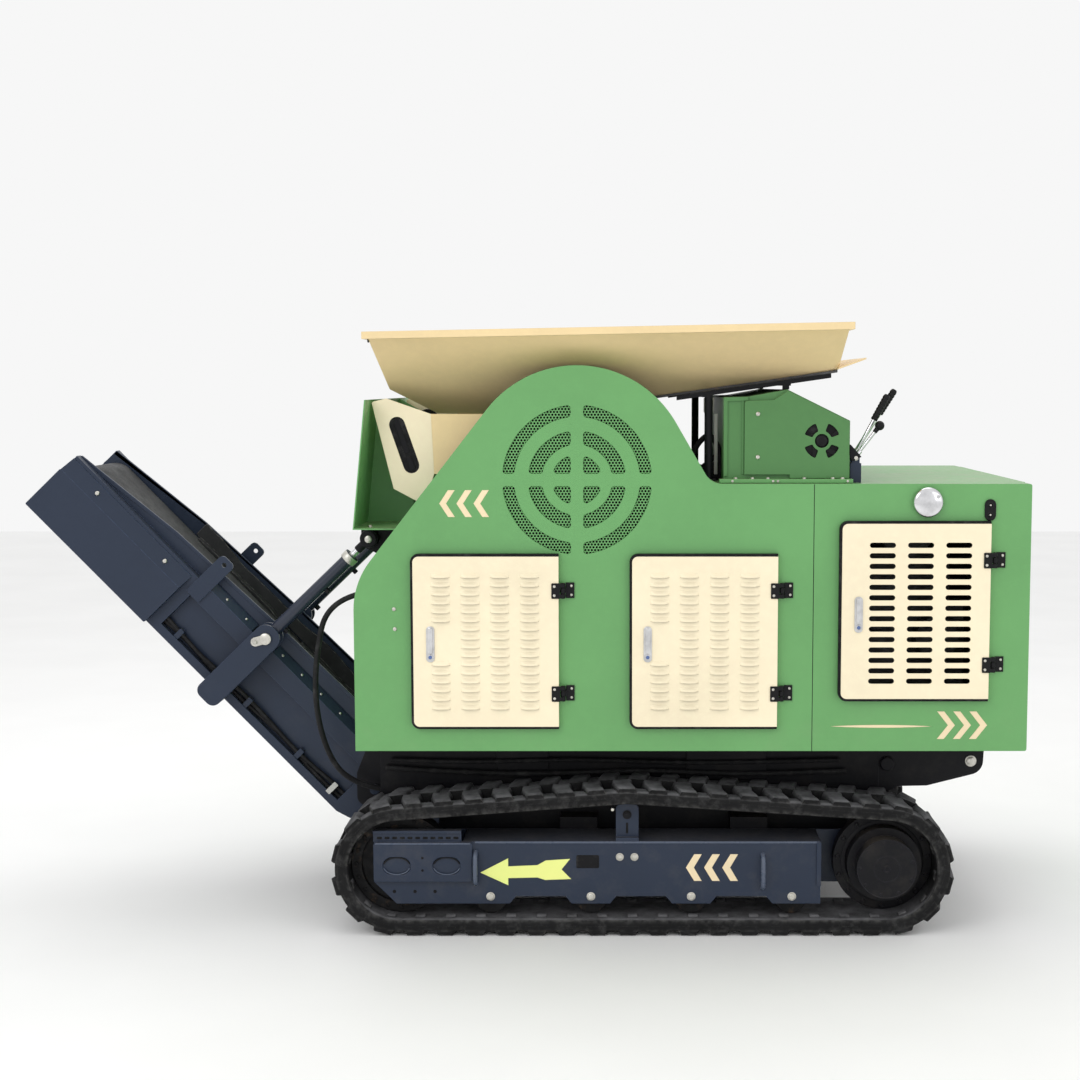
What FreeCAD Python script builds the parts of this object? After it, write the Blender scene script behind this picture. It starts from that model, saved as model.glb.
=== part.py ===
import FreeCAD, Part
import math
import os

V = FreeCAD.Vector
os.makedirs("parts", exist_ok=True)

# Tracked mini jaw crusher. X runs from the discharge end to the engine end, the near side is -Y, Z is up.

# --- housing
HALF_WIDTH = 590.0          # outer face of the side sheets
SHEET = 5.0
FLOOR_Z = 588.0             # underside of the housing sheets
DECK_Z = 1420.0
HOUSE_X0 = -479.0
SEAM_X = 940.0
HOUSE_X1 = 1608.0
TRAY_DEPTH = 95.0           # folded edge of the side sheets
CORNER_R = 7.0              # outer corners at the machine's end
GUARD_INSET = 50.0          # side sheet to the end guard's side
CABINET_INSET = 60.0
# --- flywheel arch
FLY_X, FLY_Z = 212.0, 1432.0
SLOPE_DEG = 52.1            # sloping front edge
FALL_DEG = 60.0             # steep edge behind the arch
FLY_R = 322.0
ARCH_GAP = 28.0             # flywheel rim to the arch sheet
ARCH_R = FLY_R + ARCH_GAP
FLY_SIDE_GAP = 20.0         # flywheel face to the side sheet
FLY_W = 60.0
FLY_Y1 = HALF_WIDTH - SHEET - FLY_SIDE_GAP
FLY_Y0 = FLY_Y1 - FLY_W
SHAFT_R = 40.0
# --- guard openings
RINGS = [(193.0, 230.0), (108.0, 151.0)]
CORE_R = 78.0
SPOKE_HALF = 19.0
GUARD_CORNER = 10.0
# --- doors: left, right, bottom, top
DOORS = {
    "door_front": (-293.0, 155.0, 669.0, 1198.0),
    "door_middle": (381.0, 829.0, 669.0, 1198.0),
    "door_engine": (1025.0, 1481.0, 756.0, 1299.0),
}
LOCKS = {"door_front": (-240.0, 927.0), "door_middle": (429.0, 927.0), "door_engine": (1077.0, 1019.0)}
HINGES = {"door_front": (1092.0, 772.0), "door_middle": (1092.0, 772.0), "door_engine": (1186.0, 862.0)}
DOOR_GAP = 5.0              # leaf back to side sheet
DOOR_T = 18.0
DOOR_LAP = 14.0
DOOR_R = 18.0
HINGE_OFF = 13.0            # hinge pin beyond the leaf's edge
HINGE_PIN_R = 4.0
RUN = 0.05                  # radial running clearance
# --- undercarriage
TRACK_Y0, TRACK_Y1 = 370.0, 600.0
IDLER_X, SPROCKET_X, WHEEL_R = -351.0, 1180.0, 157.0
CARCASS, LUG = 24.0, 30.0
LUG_PITCH = 96.0
ROLLER_R, ROLLER_X0, ROLLER_PITCH = 50.0, -64.0, 316.0
TOP_ROLLER_X, TOP_ROLLER_Z, TOP_ROLLER_R = 366.0, 386.0, 35.0
FRAME_Y0, FRAME_Y1 = 405.0, 565.0
FRAME_TOP = 293.0
# --- chassis
BEAM_Y0, BEAM_Y1, BEAM_Z0 = 250.0, 330.0, 330.0
BEAM_X1 = 1190.0
DECKPLATE = 8.0
FLOOR_INSET = 50.0          # side sheet's face to the floor plate's edge
CENTRE_X0, CENTRE_X1, CENTRE_Z0 = -250.0, 1090.0, 170.0   # closed box between the track frames
# --- conveyor, in its own flat frame (x towards the tail, z off the belt), then turned into place
CONV_DEG = 46.0
PIVOT_X, PIVOT_Z = -470.0, 385.0
CONV_LEN = 1465.0
WALL_Y, RAIL_Y = 190.0, 235.0
PULLEY_R, BELT_T, BELT_HALF = 60.0, 8.0, 180.0
HEAD_X = -1385.0
PIVOT_PIN_R = 16.0
# --- lift cylinder
PIN_A = (-606.0, 112.0)     # on the conveyor, flat frame
PIN_B = (-472.0, 1224.0)    # on the housing
CYL_Y = 286.0
EYE_HALF = 15.0
# --- hopper
RIM_L = (-430.0, 600.0, 1883.0)
RIM_R = (1034.0, 690.0, 1909.0)
THROAT = (-60.0, 255.0, 1631.0)
PAN_X0, PAN_Z0, PAN_SLOPE = 70.0, 1631.0, 0.1451
PAN_T = 8.0
# --- crusher
CHUTE_GAP = 222.0           # half-width of the opening the conveyor's tail passes through
CHEEK_Y0, CHEEK_Y1 = 225.0, 250.0


def box(x0, x1, y0, y1, z0, z1):
    return Part.makeBox(x1 - x0, y1 - y0, z1 - z0, V(x0, y0, z0))


def cyl(x, y, z, axis, r, h):
    return Part.makeCylinder(r, h, V(x, y, z), axis)


def cyl_y(x, z, y0, y1, r):
    return cyl(x, y0, z, V(0, 1, 0), r, y1 - y0)


def mirror(shape):
    return shape.mirror(V(0, 0, 0), V(0, 1, 0))


def pair(shape):
    return Part.makeCompound([shape, mirror(shape)])


def fuse(shapes):
    out = shapes[0].multiFuse(shapes[1:]) if len(shapes) > 1 else shapes[0]
    return out.removeSplitter()


def turn_points(p, q, r, radius):
    a, b = (p - q).normalize(), (r - q).normalize()
    half = a.getAngle(b) / 2
    reach = radius / math.tan(half)
    mid = (a + b).normalize()
    return q + a * reach, q + mid * (radius / math.sin(half) - radius), q + b * reach


def outline(verts, y):
    """Closed wire in a plane of constant y from (x, z, corner radius)."""
    pts = [V(x, y, z) for x, z, _ in verts]
    edges, n = [], len(pts)
    corners = []
    for i, (_, _, r) in enumerate(verts):
        corners.append(turn_points(pts[i - 1], pts[i], pts[(i + 1) % n], r) if r else (pts[i],) * 3)
    for i in range(n):
        a, m, b = corners[i]
        if verts[i][2]:
            edges.append(Part.Arc(a, m, b).toShape())
        nxt = corners[(i + 1) % n][0]
        if (nxt - b).Length > 1e-6:
            edges.append(Part.makeLine(b, nxt))
    return Part.Wire(edges)


def prism(verts, y0, y1):
    verts = [(v + (0,))[:3] for v in verts]
    return Part.Face(outline(verts, y0)).extrude(V(0, y1 - y0, 0))


def sheet_face(points, push):
    return Part.Face(Part.makePolygon([V(*p) for p in points] + [V(*points[0])])).extrude(V(*push))


# ------------------------------------------------------------------ housing

def cross_lines(p, a, q, b):
    """Point where a line through p at angle a meets one through q at angle b."""
    ax, az, bx, bz = math.cos(a), math.sin(a), math.cos(b), math.sin(b)
    t = ((q[0] - p[0]) * bz - (q[1] - p[1]) * bx) / (ax * bz - az * bx)
    return p[0] + ax * t, p[1] + az * t


def slope_x(z):
    """X of the sloping front edge at height z."""
    a = math.radians(SLOPE_DEG)
    px, pz = FLY_X - ARCH_R * math.sin(a), FLY_Z + ARCH_R * math.cos(a)
    return px + (z - pz) / math.tan(a)


def main_outline(inset):
    a, b = math.radians(SLOPE_DEG), math.radians(-FALL_DEG)
    r = ARCH_R - inset
    left = (FLY_X - r * math.sin(a), FLY_Z + r * math.cos(a))
    right = (FLY_X + r * math.cos(b + math.pi / 2), FLY_Z + r * math.sin(b + math.pi / 2))
    x0, x1, z0, z1 = HOUSE_X0 + inset, SEAM_X - inset, FLOOR_Z + inset, DECK_Z - inset
    low = (x0, left[1] + (x0 - left[0]) * math.tan(a))
    apex = cross_lines(left, a, right, b)
    foot = (right[0] + (z1 - right[1]) / math.tan(b), z1)
    return [(x0, z0), (low[0], low[1], 250 - inset), (apex[0], apex[1], r), (foot[0], foot[1], 60 + inset),
            (x1, z1), (x1, z0)]


def engine_outline(inset):
    x0, x1, z0, z1 = SEAM_X + inset, HOUSE_X1 - inset, FLOOR_Z + inset, DECK_Z - inset
    r = CORNER_R - inset
    return [(x0, z0), (x0, z1), (x1, z1, r), (x1, z0, r)]


def tray(outline_fn):
    body = prism(outline_fn(0), -HALF_WIDTH, -HALF_WIDTH + TRAY_DEPTH)
    return body.cut(prism(outline_fn(SHEET), -HALF_WIDTH + SHEET, -HALF_WIDTH + TRAY_DEPTH + 1))


def quadrant(r0, r1):
    """One guard opening between two radii, beside the cross bars."""
    ring = cyl_y(FLY_X, FLY_Z, -HALF_WIDTH - 1, -HALF_WIDTH + SHEET + 1, r1)
    if r0:
        ring = ring.cut(cyl_y(FLY_X, FLY_Z, -HALF_WIDTH - 1, -HALF_WIDTH + SHEET + 1, r0))
    keep = box(FLY_X + SPOKE_HALF, FLY_X + 300, -HALF_WIDTH - 1, -HALF_WIDTH + SHEET + 1, FLY_Z + SPOKE_HALF,
               FLY_Z + 300)
    piece = ring.common(keep)
    upright = [e for e in piece.Edges if e.BoundBox.XLength < 1e-6 and e.BoundBox.ZLength < 1e-6]
    return piece.makeFillet(GUARD_CORNER, upright)


def guard_openings():
    out = []
    for r0, r1 in RINGS + [(0, CORE_R)]:
        q = quadrant(r0, r1)
        for i in range(4):
            out.append(q.copy().rotate(V(FLY_X, 0, FLY_Z), V(0, 1, 0), 90 * i))
    return out


def doorway(name):
    x0, x1, z0, z1 = DOORS[name]
    d = DOOR_LAP
    return prism([(x0 + d, z0 + d, 10), (x1 - d, z0 + d, 10), (x1 - d, z1 - d, 10), (x0 + d, z1 - d, 10)],
                 -HALF_WIDTH - 1, -HALF_WIDTH + SHEET + 1)


def housing():
    main = tray(main_outline)
    engine = tray(engine_outline)
    guards = guard_openings()
    near_main = main.cut(Part.makeCompound(guards + [doorway("door_front"), doorway("door_middle")]))
    near_engine = engine.cut(doorway("door_engine"))
    far = fuse([mirror(main.cut(Part.makeCompound(guards))), mirror(engine)])
    mesh = cyl_y(FLY_X, FLY_Z, -HALF_WIDTH + SHEET, -HALF_WIDTH + SHEET + 3, 246)
    inner = HALF_WIDTH - TRAY_DEPTH
    top = 1440.0
    a = math.radians(SLOPE_DEG)
    dx, dz = SHEET * math.sin(a), SHEET * math.cos(a)
    bend = FLY_Z + ARCH_R * math.cos(a) + (HOUSE_X0 - (FLY_X - ARCH_R * math.sin(a))) * math.tan(a)
    front = prism([(HOUSE_X0, FLOOR_Z), (HOUSE_X0, bend - 86), (slope_x(bend + 68), bend + 68),
                   (slope_x(top), top), (slope_x(top) + dx, top - dz), (slope_x(bend + 68) + dx, bend + 68 - dz),
                   (HOUSE_X0 + SHEET, bend - 88), (HOUSE_X0 + SHEET, FLOOR_Z)], -inner, inner)
    front = front.cut(box(-334, 0, -CHEEK_Y1, CHEEK_Y1, 1280, 1500))
    front = front.cut(box(HOUSE_X0 - 1, HOUSE_X0 + SHEET + 1, -CHUTE_GAP, CHUTE_GAP, FLOOR_Z - 1, 700))
    rear = box(HOUSE_X1 - SHEET, HOUSE_X1, -inner, inner, FLOOR_Z, DECK_Z)
    deck = box(485, HOUSE_X1 - SHEET, -inner, inner, DECK_Z - SHEET, DECK_Z)
    return {"side_panel_near": near_main, "engine_panel_near": near_engine, "side_panel_far": far,
            "flywheel_guards": pair(mesh), "end_plates": Part.makeCompound([front, rear]),
            "engine_deck": deck}


# ------------------------------------------------------------------ doors

def door_leaf(name, back):
    x0, x1, z0, z1 = DOORS[name]
    y0, y1 = -HALF_WIDTH - DOOR_GAP - DOOR_T, -HALF_WIDTH - back
    verts = [(x0, z0, DOOR_R), (x1, z0), (x1, z1), (x0, z1, DOOR_R)]
    leaf = prism(verts, y0, y1)
    if back:
        e = 16.0
        leaf = leaf.cut(box(x0 + e, x1 - e, y0 + 3, y1 + 1, z0 + e, z1 - e))
    return leaf


def door_fittings(name):
    """Lock on the leaf and the leaf's half of both hinges."""
    x0, x1, z0, z1 = DOORS[name]
    face = -HALF_WIDTH - DOOR_GAP - DOOR_T
    lx, lz = LOCKS[name]
    out = [prism([(lx - 13, lz - 56, 8), (lx + 13, lz - 56, 8), (lx + 13, lz + 56, 8), (lx - 13, lz + 56, 8)],
                 face - 9, face)]
    hx, hy = x1 + HINGE_OFF, face + 7
    for hz in HINGES[name]:
        plate = box(hx - 35, x1, face - 3, face, hz - 24, hz + 24)
        ears = []
        for s0 in (-24, 10):
            ears += [cyl(hx, hy, hz + s0, V(0, 0, 1), 8, 14), box(x1, hx, face - 3, face + 3, hz + s0, hz + s0 + 14)]
        half = fuse([plate] + ears).cut(cyl(hx, hy, hz - 30, V(0, 0, 1), HINGE_PIN_R + RUN, 60))
        out.append(half)
    return Part.makeCompound(out)


def hinge_seats():
    out = []
    face = -HALF_WIDTH
    for name, (x0, x1, z0, z1) in DOORS.items():
        hx, hy = x1 + HINGE_OFF, face - DOOR_GAP - DOOR_T + 7
        for hz in HINGES[name]:
            plate = box(hx + 9, hx + 35, face - 5, face, hz - 24, hz + 24)
            web = box(hx - 4, hx + 10, hy + 2, face, hz - 8, hz + 8)
            knuckle = cyl(hx, hy, hz - 8, V(0, 0, 1), 8, 16)
            pin = cyl(hx, hy, hz - 24, V(0, 0, 1), HINGE_PIN_R, 48)
            out.append(fuse([plate, web, knuckle, pin]))
    return Part.makeCompound(out)


# ------------------------------------------------------------------ undercarriage

LOOP = [(IDLER_X, 211.0, WHEEL_R), (SPROCKET_X, 211.0, WHEEL_R), (TOP_ROLLER_X, TOP_ROLLER_Z, TOP_ROLLER_R)]


def loop_parts(d):
    """Runs and arcs of the track path at d outside the wheels, in travel order."""
    n = len(LOOP)
    normals = []
    for i in range(n):
        x1, z1, r1 = LOOP[i]
        x2, z2, r2 = LOOP[(i + 1) % n]
        phi = math.atan2(z2 - z1, x2 - x1)
        normals.append(phi - math.pi / 2 + math.asin((r1 - r2) / math.hypot(x2 - x1, z2 - z1)))
    parts = []
    for i in range(n):
        x, z, r = LOOP[i]
        a0, a1 = normals[i - 1], normals[i]
        while a1 < a0:
            a1 += 2 * math.pi
        parts.append(("arc", x, z, r + d, a0, a1, (r + CARCASS) * (a1 - a0)))
        x2, z2, r2 = LOOP[(i + 1) % n]
        p = (x + (r + d) * math.cos(a1), z + (r + d) * math.sin(a1))
        q = (x2 + (r2 + d) * math.cos(a1), z2 + (r2 + d) * math.sin(a1))
        parts.append(("run", p, q, a1, math.dist(p, q)))
    return parts


def loop_length():
    return sum(p[-1] for p in loop_parts(CARCASS))


def loop_point(s, d):
    """Point at distance s along the carcass, d outside the wheels."""
    s %= loop_length()
    for p in loop_parts(d):
        if s <= p[-1]:
            f = s / p[-1]
            if p[0] == "arc":
                a = p[4] + (p[5] - p[4]) * f
                return p[1] + p[3] * math.cos(a), p[2] + p[3] * math.sin(a)
            return p[1][0] + (p[2][0] - p[1][0]) * f, p[1][1] + (p[2][1] - p[1][1]) * f
        s -= p[-1]
    return loop_point(0, d)


def loop_wire(d):
    edges = []
    for p in loop_parts(d):
        if p[0] == "arc":
            pts = [V(p[1] + p[3] * math.cos(a), 0, p[2] + p[3] * math.sin(a))
                   for a in (p[4], (p[4] + p[5]) / 2, p[5])]
            edges.append(Part.Arc(*pts).toShape())
        else:
            edges.append(Part.makeLine(V(p[1][0], 0, p[1][1]), V(p[2][0], 0, p[2][1])))
    return Part.Wire(edges)


def lug_profile(count, phase):
    pitch = loop_length() / count
    pts = []
    for k in range(count):
        s = (k + phase) * pitch
        for ds, d in ((-30, CARCASS), (-20, CARCASS + LUG), (20, CARCASS + LUG), (30, CARCASS)):
            x, z = loop_point(s + ds, d)
            pts.append(V(x, 0, z))
    return Part.Face(Part.makePolygon(pts + [pts[0]]))


def rubber_track():
    count = round(loop_length() / LUG_PITCH)
    mid = (TRACK_Y0 + TRACK_Y1) / 2
    bore = Part.Face(loop_wire(0)).extrude(V(0, 1000, 0))
    halves = []
    for phase, y0 in ((0.0, TRACK_Y0), (0.5, mid)):
        body = lug_profile(count, phase).extrude(V(0, mid - TRACK_Y0, 0))
        body.translate(V(0, y0, 0))
        halves.append(body.cut(bore))
    return mirror(halves[0].fuse(halves[1]))


def track_frame():
    """Near side; a channel open below, forked at the idler, with lower roller tabs."""
    y0, y1 = FRAME_Y0, FRAME_Y1
    low, tab, half, slant = 118.0, 94.0, 60.0, 20.0
    edge = [(-430, FRAME_TOP), (-430, 164), (-360, tab)]
    for i in range(4):
        x = ROLLER_X0 + i * ROLLER_PITCH
        if i:
            edge += [(x - half - slant, low), (x - half, tab)]
        edge += [(x + half, tab), (x + half + slant, low)] if i < 3 else [(975, tab)]
    edge += [(975, FRAME_TOP)]
    outer = prism(edge, -y1, -y1 + 10)
    inner = prism(edge[:-2] + [(975, 120), (1120, 120), (1240, 211, 60), (1120, FRAME_TOP)], -y0 - 10, -y0)
    roof = box(-150, 975, -y1 + 10, -y0 - 10, FRAME_TOP - 10, FRAME_TOP)
    cover = prism([(-430, 168, 8), (-430, 293, 8), (-120, 293, 8), (-120, 168, 8)], -y1 - 10, -y1)
    shelf = box(-432, -155, -y1, -y1 + 22, FRAME_TOP, 329)
    post = prism([(331, FRAME_TOP), (331, 408, 15), (402, 408, 15), (402, FRAME_TOP)], -546, -534)
    post_foot = box(331, 402, -y1, -534, FRAME_TOP, FRAME_TOP + 12)
    ends = [box(960, 975, -y1 + 10, -y0 - 10, 150, FRAME_TOP - 10)]
    body = fuse([outer, inner, roof, cover, shelf, post, post_foot] + ends)
    hole = cyl_y(SPROCKET_X, 211, -y0 - 20, -y0 + 10, 70)
    return body.cut(hole)


def final_drive():
    x, z = SPROCKET_X, 211.0
    disc = cyl_y(x, z, -490, -450, WHEEL_R)
    disc = disc.cut(cyl_y(x, z, -491, -478, 132))
    parts = [disc, cyl_y(x, z, -535, -440, 118), cyl_y(x, z, -588, -535, 95), cyl_y(x, z, -440, -FRAME_Y0 - 10, 105),
             cyl_y(x, z, -FRAME_Y0 - 10, -350, 70)]
    return fuse(parts)


def idler():
    x, z = IDLER_X, 211.0
    rim = cyl_y(x, z, -520, -450, WHEEL_R).cut(cyl_y(x, z, -521, -505, 125)).cut(cyl_y(x, z, -465, -449, 125))
    return fuse([rim, cyl_y(x, z, -535, -435, 52), cyl_y(x, z, -FRAME_Y1 + 10, -FRAME_Y0 - 10, 25)])


def track_rollers():
    out = []
    z = CARCASS + LUG + ROLLER_R
    for i in range(4):
        x = ROLLER_X0 + i * ROLLER_PITCH
        out.append(fuse([cyl_y(x, z, -535, -500, ROLLER_R), cyl_y(x, z, -470, -435, ROLLER_R),
                         cyl_y(x, z, -500, -470, 34), cyl_y(x, z, -FRAME_Y1 + 10, -FRAME_Y0 - 10, 15)]))
    out.append(fuse([cyl_y(TOP_ROLLER_X, TOP_ROLLER_Z, -525, -440, TOP_ROLLER_R),
                     cyl_y(TOP_ROLLER_X, TOP_ROLLER_Z, -534, -525, 14)]))
    return Part.makeCompound(out)


def undercarriage():
    track, frame = rubber_track(), track_frame()
    return {"rubber_track_near": track, "rubber_track_far": mirror(track),
            "track_frame_near": frame, "track_frame_far": mirror(frame),
            "final_drives": pair(final_drive()), "idlers": pair(idler()), "track_rollers": pair(track_rollers())}


# ------------------------------------------------------------------ chassis

def chassis():
    floor = box(HOUSE_X0 + SHEET, HOUSE_X1 - SHEET, -HALF_WIDTH + FLOOR_INSET, HALF_WIDTH - FLOOR_INSET,
                FLOOR_Z - DECKPLATE, FLOOR_Z)
    floor = floor.cut(box(HOUSE_X0, 110, -CHUTE_GAP, CHUTE_GAP, FLOOR_Z - 20, FLOOR_Z + 20))
    parts = [floor]
    for s in (-1, 1):
        y = sorted((s * BEAM_Y0, s * BEAM_Y1))
        parts.append(box(-440, BEAM_X1, y[0], y[1], BEAM_Z0, FLOOR_Z - DECKPLATE))
        e = sorted((s * 240.0, s * BEAM_Y0))
        parts.append(prism([(-530, 330, 30), (-380, 330), (-380, 580), (-474, 580), (-530, 440, 30)], e[0], e[1]))
    for x in (150, 700):
        parts.append(box(x, x + 120, -FRAME_Y0, FRAME_Y0, 200, BEAM_Z0))
    parts.append(box(CENTRE_X0, CENTRE_X1, -BEAM_Y1, BEAM_Y1, CENTRE_Z0, BEAM_Z0))
    for x in (330, 1100):
        parts.append(box(x, x + 80, -BEAM_Y0, BEAM_Y0, 420, FLOOR_Z - DECKPLATE))
    body = fuse(parts)
    for s in (-1, 1):
        y = sorted((s * 239.0, s * 251.0))
        body = body.cut(cyl_y(PIVOT_X, PIVOT_Z, y[0], y[1], PIVOT_PIN_R + RUN))
        y = sorted((s * BEAM_Y0, s * 270.0))
        body = body.cut(cyl_y(PIVOT_X, PIVOT_Z, y[0], y[1], PIVOT_PIN_R + 6))
    return body


def rear_bracket():
    z = FLOOR_Z - DECKPLATE
    verts = [(BEAM_X1, z), (1535, z), (1529, 462, 46), (1348, 416, 20), (1251, 414, 10), (BEAM_X1, 380)]
    outer = prism(verts, -BEAM_Y1, -BEAM_Y1 + 12)
    inner = prism(verts, -BEAM_Y0 - 12, -BEAM_Y0)
    ties = [box(x, x + 12, -BEAM_Y1 + 12, -BEAM_Y0 - 12, z - 120, z) for x in (BEAM_X1, 1500)]
    side = fuse([outer, inner] + ties)
    return fuse([side, mirror(side), cyl_y(1490, 498, -BEAM_Y1, BEAM_Y1, 18), cyl_y(1216, 490, -BEAM_Y1, BEAM_Y1, 24)])


# ------------------------------------------------------------------ crusher

def crusher():
    cheek = prism([(-330, FLOOR_Z), (-330, 1600, 20), (60, 1622, 30), (400, 1560, 60), (480, 1440, 60),
                   (480, 1050, 60), (330, FLOOR_Z)], -CHEEK_Y1, -CHEEK_Y0)
    housing_ring = cyl_y(FLY_X, FLY_Z, -330, -CHEEK_Y1, 92)
    ribs = [box(-290, 430, -CHEEK_Y1 - 40, -CHEEK_Y1, z, z + 20) for z in (760, 1120)]
    side = fuse([cheek, housing_ring] + ribs)
    wall = box(-330, -290, -CHEEK_Y0, CHEEK_Y0, 640, 1600)
    beam = box(380, 450, -CHEEK_Y0, CHEEK_Y0, 720, 900)
    frame = fuse([side, mirror(side), wall, beam])
    frame = frame.cut(cyl_y(FLY_X, FLY_Z, -400, 400, SHAFT_R + RUN))
    fixed = prism([(-290, 760), (-290, 1590), (-240, 1590), (-215, 760)], -CHEEK_Y0, CHEEK_Y0)
    swing = prism([(62, 1590), (150, 1590, 40), (310, 1530, 60), (318, 1340, 60), (130, 1150, 60), (30, 780, 20),
                   (-120, 716, 10), (-152, 762)], -CHEEK_Y0 + 6, CHEEK_Y0 - 6)
    swing = swing.cut(cyl_y(FLY_X, FLY_Z, -400, 400, SHAFT_R + RUN))
    toggle = prism([(24, 800), (380, 800), (380, 824), (36, 824)], -150, 150)
    wheel = cyl_y(FLY_X, FLY_Z, -FLY_Y1, -FLY_Y0, FLY_R)
    wheel = wheel.cut(cyl_y(FLY_X, FLY_Z, -FLY_Y1 - 1, -FLY_Y1 + 22, 262).cut(
        cyl_y(FLY_X, FLY_Z, -FLY_Y1 - 1, -FLY_Y1 + 22, 90)))
    flywheels = fuse([wheel, mirror(wheel), cyl_y(FLY_X, FLY_Z, -FLY_Y1, FLY_Y1, SHAFT_R)])
    t = 6.0
    chute_floor = prism([(-40, 650), (-40, 650 - t), (-400, 505 - t), (-400, 505)], -170, 170)
    chute_side = prism([(-40, 644), (-40, 700), (-160, 700), (-230, 655), (-400, 572), (-400, 499)], -170 - t, -170)
    lug = box(-200, -110, -CHEEK_Y0, -170 - t, 625, 655)
    chute = fuse([chute_floor, chute_side, mirror(chute_side), lug, mirror(lug)])
    return {"crusher_frame": frame, "fixed_jaw": fixed, "swing_jaw": fuse([swing, toggle]),
            "flywheels": flywheels, "discharge_chute": chute}


# ------------------------------------------------------------------ hopper and feeder

def wall_plane():
    """Coefficients of |y| = a + b x + c z on the hopper's side wall."""
    (x1, y1, z1), (x2, y2, z2), (x3, y3, z3) = RIM_L, RIM_R, THROAT
    det = (x2 - x1) * (z3 - z1) - (x3 - x1) * (z2 - z1)
    b = ((y2 - y1) * (z3 - z1) - (y3 - y1) * (z2 - z1)) / det
    c = ((x2 - x1) * (y3 - y1) - (x3 - x1) * (y2 - y1)) / det
    return y1 - b * x1 - c * z1, b, c


WALL = wall_plane()


def wall_y(x, z):
    return WALL[0] + WALL[1] * x + WALL[2] * z


def pan_z(x):
    return PAN_Z0 + (x - PAN_X0) * PAN_SLOPE


def rim_z(x):
    return RIM_L[2] + (x - RIM_L[0]) * (RIM_R[2] - RIM_L[2]) / (RIM_R[0] - RIM_L[0])


def between_walls(inset):
    """Everything between the two side walls, moved in by the inset."""
    corners = [(x, inset - wall_y(x, z), z) for x, z in ((-700, 1400), (1300, 1400), (1300, 2000), (-700, 2000))]
    near = sheet_face(corners, (0, 3000, 0))
    return near.common(mirror(near))


def hopper():
    """Inclined walls with a folded rim band, open above and below, and a loading lip at the engine end."""
    t, wall_t = 5.0, 9.0
    band_h, band_t = 22.0, 10.0
    xl, xr = RIM_L[0], RIM_R[0]
    knee, throat_x = (-391.0, 1708.0), -251.0
    foot = (1021.0, pan_z(1021.0))
    body = prism([(xl, RIM_L[2]), knee, (throat_x, PAN_Z0), (PAN_X0, PAN_Z0), foot, (xr, RIM_R[2])], -900, 900)
    body = body.common(between_walls(0))
    lean = (knee[0] - xl) / (RIM_L[2] - knee[1])
    rise = 60.0
    cavity = prism([(xl + t - lean * rise, RIM_L[2] + rise), (knee[0] + t, knee[1] + 2), (throat_x + 8, PAN_Z0 + 1),
                    (throat_x + 8, PAN_Z0 - 100), (foot[0] - t, PAN_Z0 - 100), (foot[0] - t, foot[1]),
                    (xr - t, RIM_R[2]), (xr - t + 5, RIM_R[2] + rise)], -900, 900)
    cavity = cavity.common(between_walls(wall_t))
    xa, xb = xl - band_t, xr + band_t
    plan = sheet_face([(xa, -RIM_L[1] - band_t, 1800), (xb, -RIM_R[1] - band_t, 1800), (xb, RIM_R[1] + band_t, 1800),
                       (xa, RIM_L[1] + band_t, 1800)], (0, 0, 200))
    band = prism([(xa, rim_z(xa) - band_h), (xb, rim_z(xb) - band_h), (xb, rim_z(xb)), (xa, rim_z(xa))], -900, 900)
    band = band.common(plan)
    yl = wall_y(*foot) + 30
    lip = prism([(foot[0] - 3, foot[1] + 6), (1104, 1806), (1104, 1801), (foot[0] - 3, foot[1] + 1)], -yl, yl)
    return fuse([body, band, lip]).cut(cavity)


def feeder():
    x0, x1 = PAN_X0, 1018.0
    y0, y1 = wall_y(x0, pan_z(x0)) + 10, wall_y(x1, pan_z(x1)) + 10
    pan = sheet_face([(x0, -y0, pan_z(x0)), (x1, -y1, pan_z(x1)), (x1, y1, pan_z(x1)), (x0, y0, pan_z(x0))],
                     (0, 0, -PAN_T))
    parts = []
    for s in (-1, 1):
        y = 470 * s if s > 0 else -490
        a, b = 520.0, 1000.0
        parts.append(sheet_face([(a, y, pan_z(a) - PAN_T), (b, y, pan_z(b) - PAN_T), (b, y + 20, pan_z(b) - PAN_T),
                                 (a, y + 20, pan_z(a) - PAN_T)], (0, 0, -14)))
        parts.append(cyl(620, y + 10, DECK_Z, V(0, 0, 1), 13, pan_z(620) - PAN_T - 10 - DECK_Z))
        parts.append(box(598, 642, y - 4, y + 24, DECK_Z, DECK_Z + 10))
    for x in (600.0, 845.0):
        b = x + 30
        parts.append(prism([(x, pan_z(x) - PAN_T), (b, pan_z(b) - PAN_T), (b, pan_z(x) - PAN_T - 16),
                            (x, pan_z(x) - PAN_T - 16)], -490, 490))
    for s in (-1, 1):
        y = (-490, -470) if s < 0 else (470, 490)
        parts.append(box(850, 870, y[0], y[1], 1708, pan_z(850) - PAN_T - 4))
    return {"feeder_pan": pan, "feeder_frame": fuse(parts)}


def inlet():
    t = 6.0
    off = 1.0
    cheek = prism([(-439, 1668, 6), (-392, 1680, 6), (-252, 1631), (-243, 1442), (slope_x(1400), 1400 + off),
                   (slope_x(1352), 1352 + off), (-372, 1395)], -430, -430 + t)
    plate = prism([(-252, 1631), (-70, 1631), (-30, 1600), (-120, 1440), (slope_x(1440), 1440), (-243, 1442)],
                  -430, -430 + t)
    return {"inlet_cheeks": pair(cheek), "inlet_plates": pair(plate)}


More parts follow.
